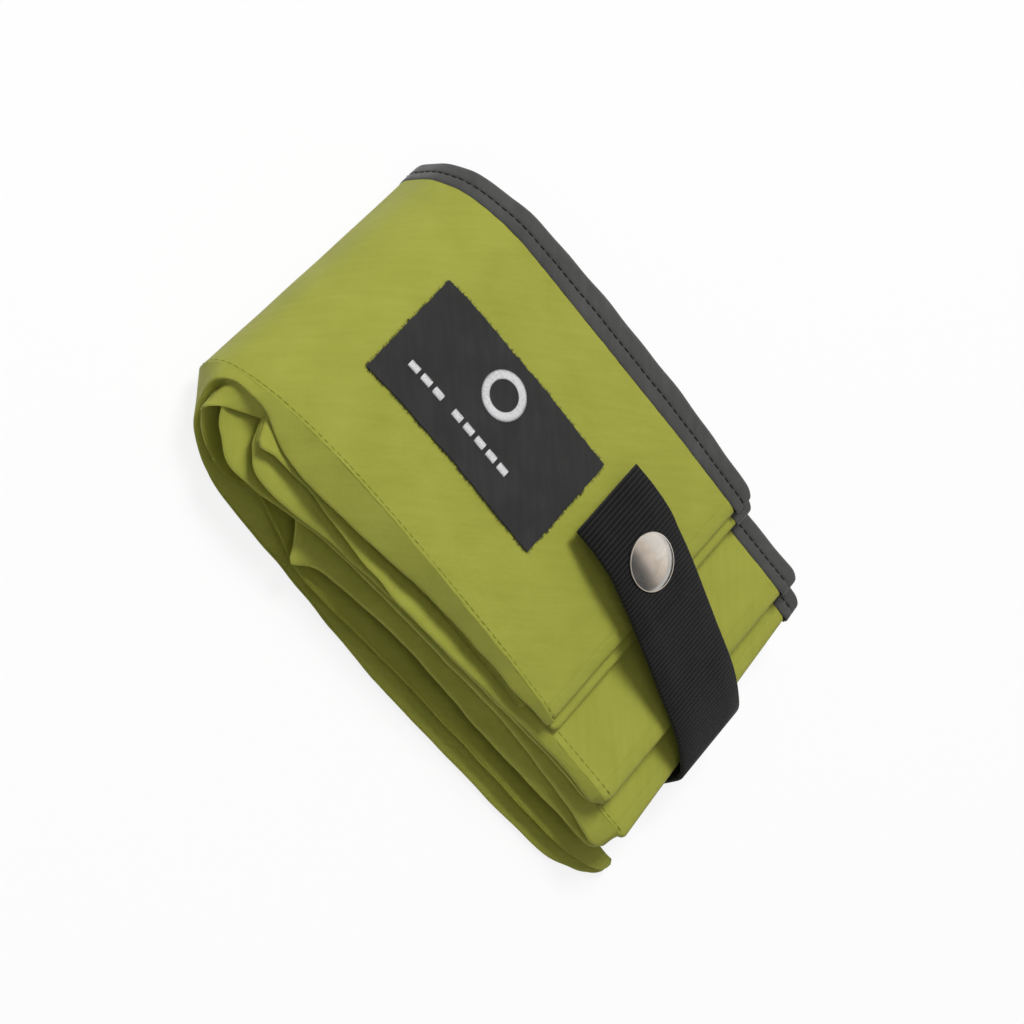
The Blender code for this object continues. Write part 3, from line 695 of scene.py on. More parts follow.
@dataclass
class Wall:
    """One stretch of stiffened wall: cover, lining, rim tape and its stitching.

    The outer face follows a profile in X and Z at the base seam and another at the rim,
    matched place by place. The cover also rolls over the free ends.
    """

    name: str
    base: Points
    rim: Points
    outside: Side
    cover: float
    board: float
    lining: float
    parts: tuple[str, ...] = ("front", "fold", "back")
    creased: bool = False
    gap: float = 0.3 * MM
    tape: float = 0.6 * MM
    tape_lift: float = 0.33 * MM
    rim_swell: Callable[[Points], Points] = np.zeros_like
    rim_waver: float = 0.28 * MM
    pucker_depth: float = 0.22 * MM
    pucker_reach: float = 3 * MM
    stitch_inset: float = 1.2 * MM
    corner: float = 2.4 * MM
    gathers: tuple[float, float] = (3.4 * MM, 14 * MM)
    slack: tuple[float, float] = (24 * MM, 15 * MM)
    roll_clear: float = 7.5 * MM
    lining_clear: float = 5.0 * MM
    board_clear: float = 2.0 * MM
    board_rim_inset: float = 2.2 * MM
    board_seam_inset: float = 1.0 * MM
    tape_clear: float = 4.0 * MM
    tape_mouth: float = 0.15 * MM
    tape_floor: float = 0.02 * MM
    stitch_floor: float = 0.28 * MM
    tape_corner: float = 3.5 * MM
    groove_share: float = 0.42
    seam_y: float = SEAM_Y
    cover_rim_y: float = COVER_RIM_Y
    rim_y: float = RIM_Y

    def depth(self) -> float:
        """The wall's whole thickness."""
        return self.cover + self.board + self.lining + 2 * self.gap

    def nodes_of(self, ply: str) -> list[str]:
        """The nodes that one ply stands for, in order along the wall; a fold has no board."""
        parts = [part for part in self.parts if part != "fold" or ply != "board"]
        names = [f"{self.name}_{part}_{ply}" for part in parts]
        if self.creased and ply == "cover":
            names.append(self.name + "_crease")
        return names

    def normals(self, line: Points) -> Points:
        """The way out of the wall at each place of a profile in X and Z."""
        return left_of(line, TINY) * self.outside.value

    def lengths(self) -> Points:
        """Running lengths of the profile, midway between the seam and the rim."""
        return lengths_along((self.base + self.rim) / 2)

    def stations(self, ends: Sequence[float], clear: float) -> Points:
        """Running lengths of the rows along the wall.

        Args:
            ends: Places of the rows at a free end, from its edge inwards.
            clear: How far from a free end the profile's own rows start.

        Returns:
            The rows' running lengths, some of them past the ends.
        """
        run = self.lengths()
        near = np.array(ends)
        kept = run[(run > clear) & (run < run[-1] - clear)]
        return np.concatenate([near, kept, run[-1] - near[::-1]])

    def sampled(self, stations: Points, y: float, inward: Points) -> Points:
        """Places of the wall at running lengths, at one place across it.

        Args:
            stations: Running lengths along the wall; past an end the wall runs on straight.
            y: Where across the wall.
            inward: How far below the outer face, for each length or for all.

        Returns:
            A row of places.
        """
        share = (y - self.seam_y) / (self.rim_y - self.seam_y)
        run = self.lengths()
        line = self.base * (1 - share) + self.rim * share
        out = self.normals(line)
        inside = np.clip(stations, 0, run[-1])
        past = stations - inside
        way = np.where(past < 0, 0, len(line) - 2)
        step = line[way + 1] - line[way]
        step /= np.linalg.norm(step, axis=1, keepdims=True)
        spot = at_lengths(line, run, inside)
        turn = at_lengths(out, run, inside)
        spot = spot + step * past[:, None] - turn * np.reshape(inward, (-1, 1))
        return in_space(spot, y)

    def across(self, y: float, inward: float) -> Points:
        """The profile's own rows at one place across the wall, below its outer face."""
        return self.sampled(self.lengths(), y, inward)

    def surface(self, x: float, y: float) -> float:
        """Height of the upper part of the outer face at a place seen from above."""
        line = self.across(y, 0.0)
        upper = line[: int(np.argmin(line[:, 0])) + 1][::-1]
        return float(np.interp(x, upper[:, 0], upper[:, 2]))

    def pucker(self, stations: Points, y: float) -> Points:
        """How the cover is drawn in beside its two seams, and lies loosely between them."""
        near = math.exp((self.seam_y - y) / self.pucker_reach)
        near += math.exp((y - self.cover_rim_y) / self.pucker_reach)
        drawn, loose = ([noise.noise(Vector((run / along, y / across, seed))) for run in stations]
                        for (along, across), seed in ((self.gathers, 2.0), (self.slack, 6.0)))
        return self.pucker_depth * (near * np.array(drawn) + 0.5 * np.array(loose))

    def rounded(self, stations: Points, y: float) -> Points:
        """Running lengths drawn in near a free end, which rounds its corner at the base seam."""
        share = min(max((y - self.seam_y) / self.corner, 0.0), 1.0)
        back = self.corner * (1 - math.sqrt(1 - (1 - share) ** 2))
        from_end = self.lengths()[-1] - stations
        start = np.clip(1 - stations / (4 * self.corner), 0, 1)
        end = np.clip(1 - from_end / (4 * self.corner), 0, 1)
        return stations + back * (start - end)

    def at_ends(self, stations: Points, middle: float, end: Points) -> Points:
        """One value for each row: a free end's own values, and another one between the ends.

        Args:
            stations: The rows' running lengths.
            middle: The value away from the free ends.
            end: The values at a free end, from its edge inwards.

        Returns:
            A value for each row.
        """
        values = np.full(len(stations), middle)
        values[:len(end)] = end
        values[len(values) - len(end):] = end[::-1]
        return values

    def make_cover(self, material: Finish, count: int = 36) -> Piece:
        """The outer cloth, from under the tape to the base seam, turned in over the ends."""
        roll = np.array(END_ROLL)
        stations = self.stations(roll[:, 0] * MM, self.roll_clear)
        sunk = self.at_ends(stations, 0.0, roll[:, 1] * self.depth())
        spread = 0.5 - 0.5 * np.cos(np.linspace(0, math.pi, count))
        across = self.cover_rim_y + (self.seam_y - self.cover_rim_y) * spread
        points = np.stack([
            self.sampled(self.rounded(stations, y), y, sunk + self.pucker(stations, y)) for y in across
        ], axis=1)
        return make_sheet(self.name + "_cover_cloth", points, self.cover, material, self.side_offset())

    def side_offset(self) -> float:
        """Which side of a face's places its thickness lies on."""
        return -1.0 if self.outside is Side.LEFT else 1.0

    def face(self, inward: float, start_y: float, end_y: float, count: int, clear: float) -> Points:
        """Places of one face of the wall, stopping short of its free ends.

        Args:
            inward: How far below the outer face.
            start_y: The first column.
            end_y: The last column.
            count: How many columns.
            clear: How far from the free ends it stops.

        Returns:
            The places by row along the wall and column across it.
        """
        rows = self.stations([clear], clear + 0.5 * MM)
        return np.stack([self.sampled(rows, y, inward) for y in np.linspace(start_y, end_y, count)], axis=1)

    def make_lining(self, material: Finish) -> Piece:
        """The coated lining on the wall's inner face."""
        inward = self.depth() - self.lining
        points = self.face(inward, self.cover_rim_y, self.seam_y, 20, self.lining_clear)
        return make_sheet(self.name + "_lining_sheet", points, self.lining, material, self.side_offset())

    def make_board(self, material: Finish, last_x: float) -> Piece:
        """The stiffening board between the cover and the lining.

        Args:
            material: Its finish.
            last_x: Where the board stops towards the fold.

        Returns:
            The board.
        """
        rim_y = self.rim_y - self.board_rim_inset
        seam_y = self.seam_y + self.board_seam_inset
        points = self.face(self.cover + self.gap, rim_y, seam_y, 12, self.board_clear)
        stop = int(np.argmax(points[:, 0, 0] < last_x))
        return make_sheet(self.name + "_bent_board", points[:stop], self.board, material, self.side_offset())

    def rim_wave(self, x: Points) -> Points:
        """How far the rim stands out along the wall: its swell and a slight waver."""
        waver = np.sin(x * math.tau / (37 * MM) + self.board / MM) + np.sin(x * math.tau / (19 * MM) + 2.0)
        return self.rim_swell(x) + 0.5 * self.rim_waver * waver

    def tape_section(self) -> list[tuple[float, float]]:
        """The tape's cross-section: Y, and how far below the outer face."""
        top = -self.tape_lift
        bottom = self.depth() + self.tape_lift
        middle = (top + bottom) / 2
        half = (bottom - top) / 2
        mouth = self.mouth_y()
        turn_y = self.rim_y - half
        section = [(mouth, top + 0.35 * MM), (mouth + 0.4 * MM, top + 0.05 * MM), (mouth + 1.4 * MM, top)]
        section += [(self.groove_y() + off * MM, top + sunk * MM) for off, sunk in TAPE_GROOVE]
        section.append((turn_y, top))
        for step in range(1, 10):
            angle = math.pi / 2 - math.pi * step / 10
            section.append((turn_y + half * math.cos(angle), middle - half * math.sin(angle)))
        section += [(turn_y, bottom), (mouth + 4 * MM, bottom), (mouth + 1.4 * MM, bottom),
                    (mouth, bottom - 0.35 * MM)]
        return section

    def make_tape(self, material: Finish) -> Piece:
        """The tape folded over the rim, sewn down in a groove and tucked in at its ends."""
        nose = np.array(TAPE_NOSE)
        stations = self.stations(nose[:, 0] * MM, self.tape_clear)
        squeeze = self.at_ends(stations, 1.0, nose[:, 1])
        from_end = self.lengths()[-1] - stations
        near = np.clip((np.minimum(stations, from_end) + MM) / (self.tape_corner + MM), 0, 1)
        drop = self.tape_corner * (1 - np.sqrt(1 - (1 - near) ** 2))
        middle = self.depth() / 2
        rows = np.stack([
            self.sampled(stations, y, middle + (inward - middle) * squeeze)
            for y, inward in self.tape_section()
        ], axis=1)
        share = np.clip((rows[:, :, 1] - self.mouth_y()) / (self.rim_y - self.mouth_y()), 0, 1)
        rows[:, :, 1] += (self.rim_wave(rows[:, :, 0]) - drop[:, None]) * share
        rows[:, :, 2] = np.maximum(rows[:, :, 2], self.tape_floor)
        return make_sheet(self.name + "_tape", rows, self.tape, material, -self.side_offset(), smooth=60)

    def mouth_y(self) -> float:
        """Where across the wall the tape's open edges lie."""
        return self.cover_rim_y + self.tape_mouth

    def groove_y(self) -> float:
        """Where across the tape its seam runs."""
        return self.cover_rim_y + self.groove_share * (self.rim_y - self.cover_rim_y)

    def make_stitches(self, material: Finish) -> Piece:
        """The row of stitches in the groove of the tape's outer face."""
        line = self.across(self.groove_y(), -self.tape_lift + 0.12 * MM)
        out = in_space(self.normals(line[:, [0, 2]]))
        line[:, 1] += self.groove_share * self.rim_wave(line[:, 0])
        line[:, 2] = np.maximum(line[:, 2], self.stitch_floor)
        return stitch_row(self.name + "_stitches", line, out, pitch=2.9 * MM, length=2.3 * MM,
                          width=0.5 * MM, material=material)

    def make_seam_stitches(self, material: Finish) -> Piece:
        """The row of stitches just inside the base seam, in the cover's colour."""
        line = self.across(self.seam_y + self.stitch_inset, -0.02 * MM)
        out = in_space(self.normals(line[:, [0, 2]]))
        return stitch_row(self.name + "_seam_stitches", line, out, pitch=2.8 * MM, length=2.1 * MM,
                          width=0.34 * MM, material=material)

    def build(self, outfit: Outfit, put: Callable[[Piece], None]) -> None:
        """Make the plies and their stitches.

        Args:
            outfit: The finishes.
            put: Puts a piece on what it moves with.
        """
        plies = (
            (self.make_cover(outfit.cover), "cover", "stretched", "cover_fabric"),
            (self.make_lining(outfit.lining), "lining", "stretched", "lining_fabric"),
            (self.make_tape(outfit.tape), "rim_tape", "folded", "rim_tape"),
        )
        rows = (
            (self.make_stitches(outfit.thread), "rim_tape"),
            (self.make_seam_stitches(outfit.green_thread), "cover_fabric"),
        )
        for piece, ply, held, slot in plies:
            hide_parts(*self.nodes_of(ply))
            put(piece)
        for piece, slot in rows:
            put(piece)

    def build_board(self, outfit: Outfit, node: str, body: str) -> None:
        """Make the bent board that stands for a node, and put it on its body."""
        board = self.make_board(outfit.board, BENCH.box(node)[0].x)
        dress(board, "stiffener_board", body, node)


def straight_line(start: float, end: float, level: float, count: int = 60) -> Points:
    """A flat profile from one X to another."""
    x = np.linspace(start, end, count)
    return np.stack([x, np.full(count, level)], axis=1)


def half_turn(centre: Sequence[float], radius: float, steps: int = 10) -> Points:
    """The left half of a circle from its top to its bottom, without its ends."""
    angles = math.pi / 2 + math.pi * np.arange(1, steps) / steps
    return np.stack([centre[0] + radius * np.cos(angles), centre[1] + radius * np.sin(angles)], axis=1)


def folded_profile(upper: Sequence[float], lower: Sequence[float], fold_x: float,
                   upper_leans: Sequence[float], lower_leans: Sequence[float]) -> list[Points]:
    """Profiles of a wall that is folded flat, at the base seam and at the rim.

    Args:
        upper: X of the upper half's free end, and the half's level.
        lower: The same for the lower half.
        fold_x: Where the fold starts.
        upper_leans: How far the upper end is moved in X at the seam and at the rim.
        lower_leans: The same for the lower end.

    Returns:
        The two profiles.
    """
    turn = half_turn((fold_x, (upper[1] + lower[1]) / 2), (upper[1] - lower[1]) / 2)
    return [np.concatenate([
        straight_line(upper[0] + above, fold_x, upper[1]), turn,
        straight_line(fold_x, lower[0] + below, lower[1]),
    ]) for above, below in zip(upper_leans, lower_leans)]


# The labelled wall's outer face at the base seam and at the rim, in millimetres
OUTER_SEAM = [
    (156, 37.2), (140, 39.0), (126, 40.2), (99, 41.0), (73, 41.0), (51, 39.8), (38, 37.8), (30, 36.0),
    (22, 33.6), (15, 30.4), (8.5, 26.2), (4.0, 21.5), (1.8, 15.0), (2.5, 8.0), (6.5, 3.2),
    (13, 0.9), (22, 0.35), (60, 0.35), (100, 0.35), (150, 0.35), (190, 0.35), (203, 0.35),
    (208, 0.35),
]
OUTER_RIM = [
    (156, 40.0), (140, 40.5), (124, 41.0), (96, 41.0), (73, 41.0), (51, 41.0), (40, 40.6), (31.5, 38.8),
    (24, 35.8), (17.4, 31.4), (13.6, 26.8), (10.4, 21.4), (8.5, 14.3), (7.5, 9.0), (8.5, 4.2),
    (12.5, 1.2), (20, 0.35), (58, 0.35), (97, 0.35), (147, 0.35), (186, 0.35), (197.5, 0.35),
    (202, 0.35),
]
# How the base cloth runs on past the wall's free end
OUTER_TAIL = [(211, 0.35), (213, 0.35)]
# Lines of the base cloth beside it: the lip, the valley behind it and the inner ridge
LIP = [
    (155.8, -51.6, 34.8), (140, -54.0, 35.7), (126, -54.0, 35.5), (99, -55.4, 35.0), (73, -59.0, 34.6),
    (51, -61.0, 33.0), (38, -60.7, 31.6), (30, -58.6, 31.0), (22, -54.9, 30.5), (15, -54.0, 29.3),
    (9.0, -53.8, 26.2), (5.0, -57.0, 21.5), (8.0, -61.0, 15.0), (13, -64.5, 9.0), (20, -66.8, 4.5),
    (28, -69.0, 2.2), (38, -70.4, 1.6), (71, -71.0, 1.6), (113, -71.6, 1.6), (160, -69.0, 1.7),
    (193, -66.2, 1.8), (206, -61.6, 1.9), (212.0, -57.6, 2.0), (214.8, -54.0, 2.0), (215.4, -50.5, 2.0),
]
VALLEY = [
    (155.4, -50.8, 34.3), (140, -51.2, 34.6), (126, -51.4, 34.2), (99, -51.6, 33.8), (73, -52.4, 33.2),
    (51, -53.0, 31.8), (38, -53.0, 30.4), (30, -52.6, 29.6), (22, -52.0, 28.8), (15, -52.0, 27.4),
    (10.0, -52.0, 24.6), (8.6, -52.8, 20.6), (11.2, -54.0, 15.4), (15.6, -54.6, 10.8), (22, -55.0, 7.6),
    (30, -55.4, 6.3), (40, -55.6, 5.6), (71, -56.2, 5.1), (110, -56.6, 4.9), (160, -56.4, 4.9),
    (193, -55.6, 4.8), (205, -55.4, 4.2), (211.0, -54.6, 3.6), (214.0, -53.0, 3.4), (214.8, -50.5, 3.4),
]
INNER_RIDGE = [
    (155.6, -51.2, 33.9), (140, -52.5, 33.6), (122, -53.0, 33.0), (99, -54.0, 32.6), (75, -56.0, 31.8),
    (55, -57.0, 30.4), (40, -55.5, 28.8), (32, -53.5, 27.5), (25, -54.5, 25.2), (18, -58.0, 23.6),
    (12.5, -61.5, 22.8), (9.4, -65.0, 20.2), (12, -64.6, 15.6), (16.5, -66.0, 12.0), (23, -67.2, 9.5),
    (32, -68.0, 8.6), (45, -63.5, 8.0), (71, -70.6, 8.2), (108, -67.8, 8.0), (158, -64.8, 8.0),
    (190, -63.0, 7.6), (204.5, -59.6, 6.0), (211.2, -56.4, 5.0), (214.2, -53.4, 4.6), (215.0, -50.5, 4.4),
]
# Base cloth beside the second wall: X, upper ridge Y and Z, valley Y and Z, lower ridge Y and Z
FRONT_INNER_PLEATS = [
    (19, -50.6, 27.4, -50.6, 26.8, -50.6, 26.2), (23, -52.5, 28.2, -52.5, 27.0, -53.0, 25.8),
    (26.5, -60.0, 29.0, -60.5, 27.2, -61.0, 25.4), (28.5, -63.0, 29.8, -60.0, 27.4, -63.6, 25.0),
    (34, -61.6, 30.0, -54.0, 27.6, -68.0, 25.0), (42, -61.0, 30.0, -52.0, 27.6, -68.4, 25.0),
    (51, -60.4, 30.0, -52.0, 27.6, -67.2, 25.0), (67, -61.7, 30.0, -52.0, 27.6, -63.6, 25.0),
    (98, -61.6, 30.0, -52.0, 27.6, -59.5, 25.0), (135, -57.5, 29.3, -51.6, 27.2, -56.0, 24.8),
    (163, -54.0, 28.4, -51.2, 26.6, -53.6, 24.8), (179, -53.2, 27.8, -51.4, 26.4, -52.8, 25.0),
    (186.1, -52.9, 27.4, -51.6, 26.4, -52.5, 25.4), (189.0, -50.6, 26.9, -50.6, 26.4, -50.6, 25.9),
]
BACK_INNER_PLEATS = [
    (12, -59.0, 22.6, -54.0, 19.0, -54.0, 16.0), (16, -64.0, 20.6, -54.0, 18.0, -55.0, 15.6),
    (20, -66.4, 20.0, -54.0, 17.6, -56.0, 15.2), (27, -70.4, 20.0, -54.0, 17.4, -57.0, 15.0),
    (38, -69.3, 20.0, -53.6, 17.2, -58.0, 14.8), (53, -65.7, 20.0, -53.4, 17.2, -60.0, 14.5),
    (61, -63.2, 20.0, -53.2, 17.2, -68.0, 14.4), (64.5, -62.4, 20.0, -53.0, 17.0, -73.4, 14.0),
    (70, -61.7, 20.0, -53.0, 17.0, -68.5, 14.0), (81, -60.3, 20.0, -53.0, 17.0, -65.6, 14.0),
    (110, -57.8, 20.0, -52.6, 17.0, -61.4, 14.0), (150, -55.0, 20.0, -51.8, 17.0, -60.6, 14.0),
    (179, -56.2, 19.6, -52.0, 17.0, -59.0, 14.4), (194, -57.8, 19.0, -52.8, 17.2, -58.6, 15.2),
    (198.7, -58.4, 18.8, -53.6, 17.3, -58.6, 15.8), (201.6, -57.0, 18.5, -53.6, 17.3, -57.2, 16.2),
    (203.0, -54.0, 18.1, -52.6, 17.3, -54.2, 16.6), (203.3, -50.6, 17.9, -50.6, 17.4, -50.6, 17.0),
]


def millimetres(points: Line, steps: int) -> Points:
    """A smooth line through points given in millimetres."""
    return smooth_line(np.array(points, float) * MM, steps)


@dataclass
class OuterWall:
    """The labelled long wall: it wraps the whole bundle round its folded end."""

    outfit: Outfit
    steps: int = 12
    level_low: float = 8.5 * MM
    level_high: float = 30 * MM
    swell: float = 2.3 * MM
    swell_middle: float = 92 * MM
    swell_reach: float = 62 * MM
    root_depth: float = 6.4 * MM
    radii: tuple = (1.8 * MM, 1.6 * MM, 1.5 * MM)
    cloth: float = 0.5 * MM

    def wall(self) -> Wall:
        """The wall on the bundle's outer profile."""
        def swelling(x: Points) -> Points:
            """How far the rim stands out where the bundle is fullest."""
            near = np.clip(1 - ((x - self.swell_middle) / self.swell_reach) ** 2, 0, 1)
            return self.swell * near

        base = millimetres(OUTER_SEAM, self.steps)
        rim = millimetres(OUTER_RIM, self.steps)
        return Wall("long_wall_a", base, rim, Side.RIGHT, cover=0.6 * MM, board=1.3 * MM, lining=0.5 * MM,
                    rim_swell=swelling)

    def build(self) -> None:
        """Make the wall's plies and the base cloth beside them."""
        wall = self.wall()
        wall.build(self.outfit, self.bend)
        hem = self.make_hem()
        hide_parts("base_hem_front_outer", "base_hem_outer_turn", "base_hem_back_outer")
        self.bend(hem)
        wall.build_board(self.outfit, "long_wall_a_front_board", "front_half")
        LOG.info("outer wall built")

    def bend(self, piece: Piece) -> None:
        """Bake a piece's place into its mesh."""
        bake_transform(piece)

    def make_hem(self) -> Piece:
        """The base cloth's lip and inner ridge, in one sheet round the fold."""
        flat = millimetres(OUTER_SEAM + OUTER_TAIL, self.steps)
        seam = in_space(flat, SEAM_Y)
        lip, valley, ridge = (millimetres(rail, self.steps) for rail in (LIP, VALLEY, INNER_RIDGE))
        root = seam + in_space(left_of(flat)) * self.root_depth
        points = rounded_section([seam, lip, valley, ridge, root], self.radii, [4, 4, 4, 5])
        points = wrinkled(points, depth=0.35 * MM, pitch=9 * MM, seed=3.0)
        return make_sheet("base_cloth_outer", points, self.cloth, self.outfit.cover, 1.0, smooth=60)


@dataclass
class InnerWall:
    """The second long wall: it lies doubled inside the bundle."""

    outfit: Outfit
    skew: float = -6 * MM
    turn_inset: float = 0.32 * MM
    front_root: float = 30.0 * MM
    back_root: float = 15.5 * MM
    radii: tuple = (1.3 * MM, 1.6 * MM, 1.3 * MM)
    row_pitch: float = 1.6 * MM
    cloth: float = 0.5 * MM

    def build(self) -> None:
        """Make the wall's plies and the base cloth beside them."""
        front = BENCH.box("long_wall_b_front_cover")
        back = BENCH.box("long_wall_b_back_cover")
        lines = folded_profile((front[1].x, front[0].z), (back[1].x, back[1].z), front[0].x, (0.0, 0.0),
                               (0.0, self.skew))
        wall = Wall("long_wall_b", *lines, Side.LEFT, cover=0.7 * MM, board=1.3 * MM, lining=0.5 * MM)
        wall.build(self.outfit, lambda piece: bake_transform(piece))
        self.make_pleats("base_cloth_front_inner", FRONT_INNER_PLEATS, front[0].z, self.front_root,
                         "front_half", ["base_hem_front_inner"])
        self.make_pleats("base_cloth_back_inner", BACK_INNER_PLEATS, self.back_root, back[1].z,
                         "back_half", ["base_hem_back_inner", "base_hem_inner_turn"])
        LOG.info("inner wall built")

    def make_pleats(self, name: str, table: Line, low: float, high: float, body: str,
                    nodes: Sequence[str]) -> None:
        """Two ridges of base cloth beside one leaf, with a valley between them."""
        rows = np.array(table, float) * MM
        x = np.append(np.arange(rows[0, 0], rows[-1, 0], self.row_pitch), rows[-1, 0])
        values = at_x(rows, x)
        seam_y = np.full(len(x), SEAM_Y)
        top = np.stack([x, seam_y, np.full(len(x), high)], axis=1)
        bottom = np.stack([x, seam_y, np.full(len(x), low)], axis=1)
        rails = [top] + [np.stack([x, values[:, k], values[:, k + 1]], axis=1) for k in (0, 2, 4)] + [bottom]
        points = rounded_section(rails, self.radii, [4, 4, 4, 4])
        points = wrinkled(points, depth=0.35 * MM, pitch=8 * MM, seed=11.0)
        piece = make_sheet(name, points, self.cloth, self.outfit.cover, 1.0, smooth=60)
        dress(piece, "cover_fabric", body, *nodes)


@dataclass
class ShortWall:
    """A short wall folded inwards, with its two halves in neighbouring leaves."""

    outfit: Outfit
    name: str
    body: str
    crease_x: float
    skew: float = -6 * MM
    below_leaf: float = 6.8 * MM
    least_turn: float = 0.3 * MM
    row_pitch: float = 3 * MM

    def finish(self, base: Points, rim: Points) -> Wall:
        """Make the plies on a folded profile and put them on their body."""
        wall = Wall(self.name, base, rim, Side.LEFT, cover=0.6 * MM, board=1.0 * MM, lining=0.6 * MM,
                    parts=("a", "b"), creased=True, stitch_inset=2.6 * MM)
        wall.build(self.outfit, lambda piece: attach(piece, self.body))
        return wall

    def build_right(self, outer: Wall) -> None:
        """The right wall, whose upper half follows the labelled leaf."""
        end_a = BENCH.box(self.name + "_a_cover")[1].x
        end_b = BENCH.box(self.name + "_b_cover")[1].x
        level_b = BENCH.box(self.name + "_b_cover")[1].z
        lines = []
        for y in (outer.seam_y, outer.rim_y):
            under = outer.across(y, self.below_leaf)[:, [0, 2]]
            under = under[:int(np.argmin(under[:, 0]))][::-1]
            x = np.append(np.arange(self.crease_x, end_a, self.row_pitch), end_a)
            upper = np.stack([x, np.interp(x, under[:, 0], under[:, 1])], axis=1)[::-1]
            radius = max((upper[-1, 1] - level_b) / 2, self.least_turn)
            turn = half_turn((self.crease_x, upper[-1, 1] - radius), radius)
            lines.append(np.concatenate([upper, turn, straight_line(self.crease_x, end_b, level_b)]))
        self.finish(*lines).build_board(self.outfit, self.name + "_a_board", self.body)
        LOG.info("right short wall built")

    def build_left(self) -> None:
        """The left wall, flat in the two lower leaves."""
        half_a = BENCH.box(self.name + "_a_cover")
        half_b = BENCH.box(self.name + "_b_cover")
        leans = (0.0, self.skew)
        lines = folded_profile((half_b[1].x, half_b[0].z), (half_a[1].x, half_a[1].z), self.crease_x, leans,
                               leans)
        self.finish(*lines)
        LOG.info("left short wall built")


def make_pleat_bag(name: str, node: str, outfit: Outfit, body: str) -> None:
    """A pleat of the base tucked between two leaves, doubled at its crease."""
    low, high = BENCH.box(node)
    middle = (low.z + high.z) / 2
    half = (high.z - low.z) / 2 - 0.3 * MM
    upper = [(low.y, half), (low.y + 8 * MM, half), (high.y - 6 * MM, half * 0.9),
             (high.y - 1 * MM, half * 0.5)]
    section = upper + [(high.y, 0.0)] + [(y, -z) for y, z in reversed(upper)]
    curve = smooth_line(section, 4)
    x = np.linspace(low.x, high.x, 40)
    points = np.array([[(place, y, middle + z) for y, z in curve] for place in x])
    points = wrinkled(points, depth=0.15 * MM, pitch=14 * MM, seed=5.0)
    piece = make_sheet(name, points, 0.4 * MM, outfit.cover, 0.0, smooth=60)
    dress(piece, "cover_fabric", body, node)


# Strap and snap

# The strap's middle line in X and Z, in millimetres: the tab, the span and the sewn root
TAB_ROUTE = [(117.0, 45.95), (125.2, 48.0), (134.46, 48.59), (141.5, 47.1), (148.54, 45.6), (158.3, 42.85)]
SPAN_ROUTE = [(158.3, 42.85), (175.05, 37.6), (191.8, 32.3), (203, 25.8), (207.3, 21.1), (207.6, 15.1),
              (207.0, 10.15), (205.7, 7.85), (204.2, 7.85)]
ROOT_ROUTE = [(204.2, 7.85), (191, 7.85), (178.2, 7.85)]


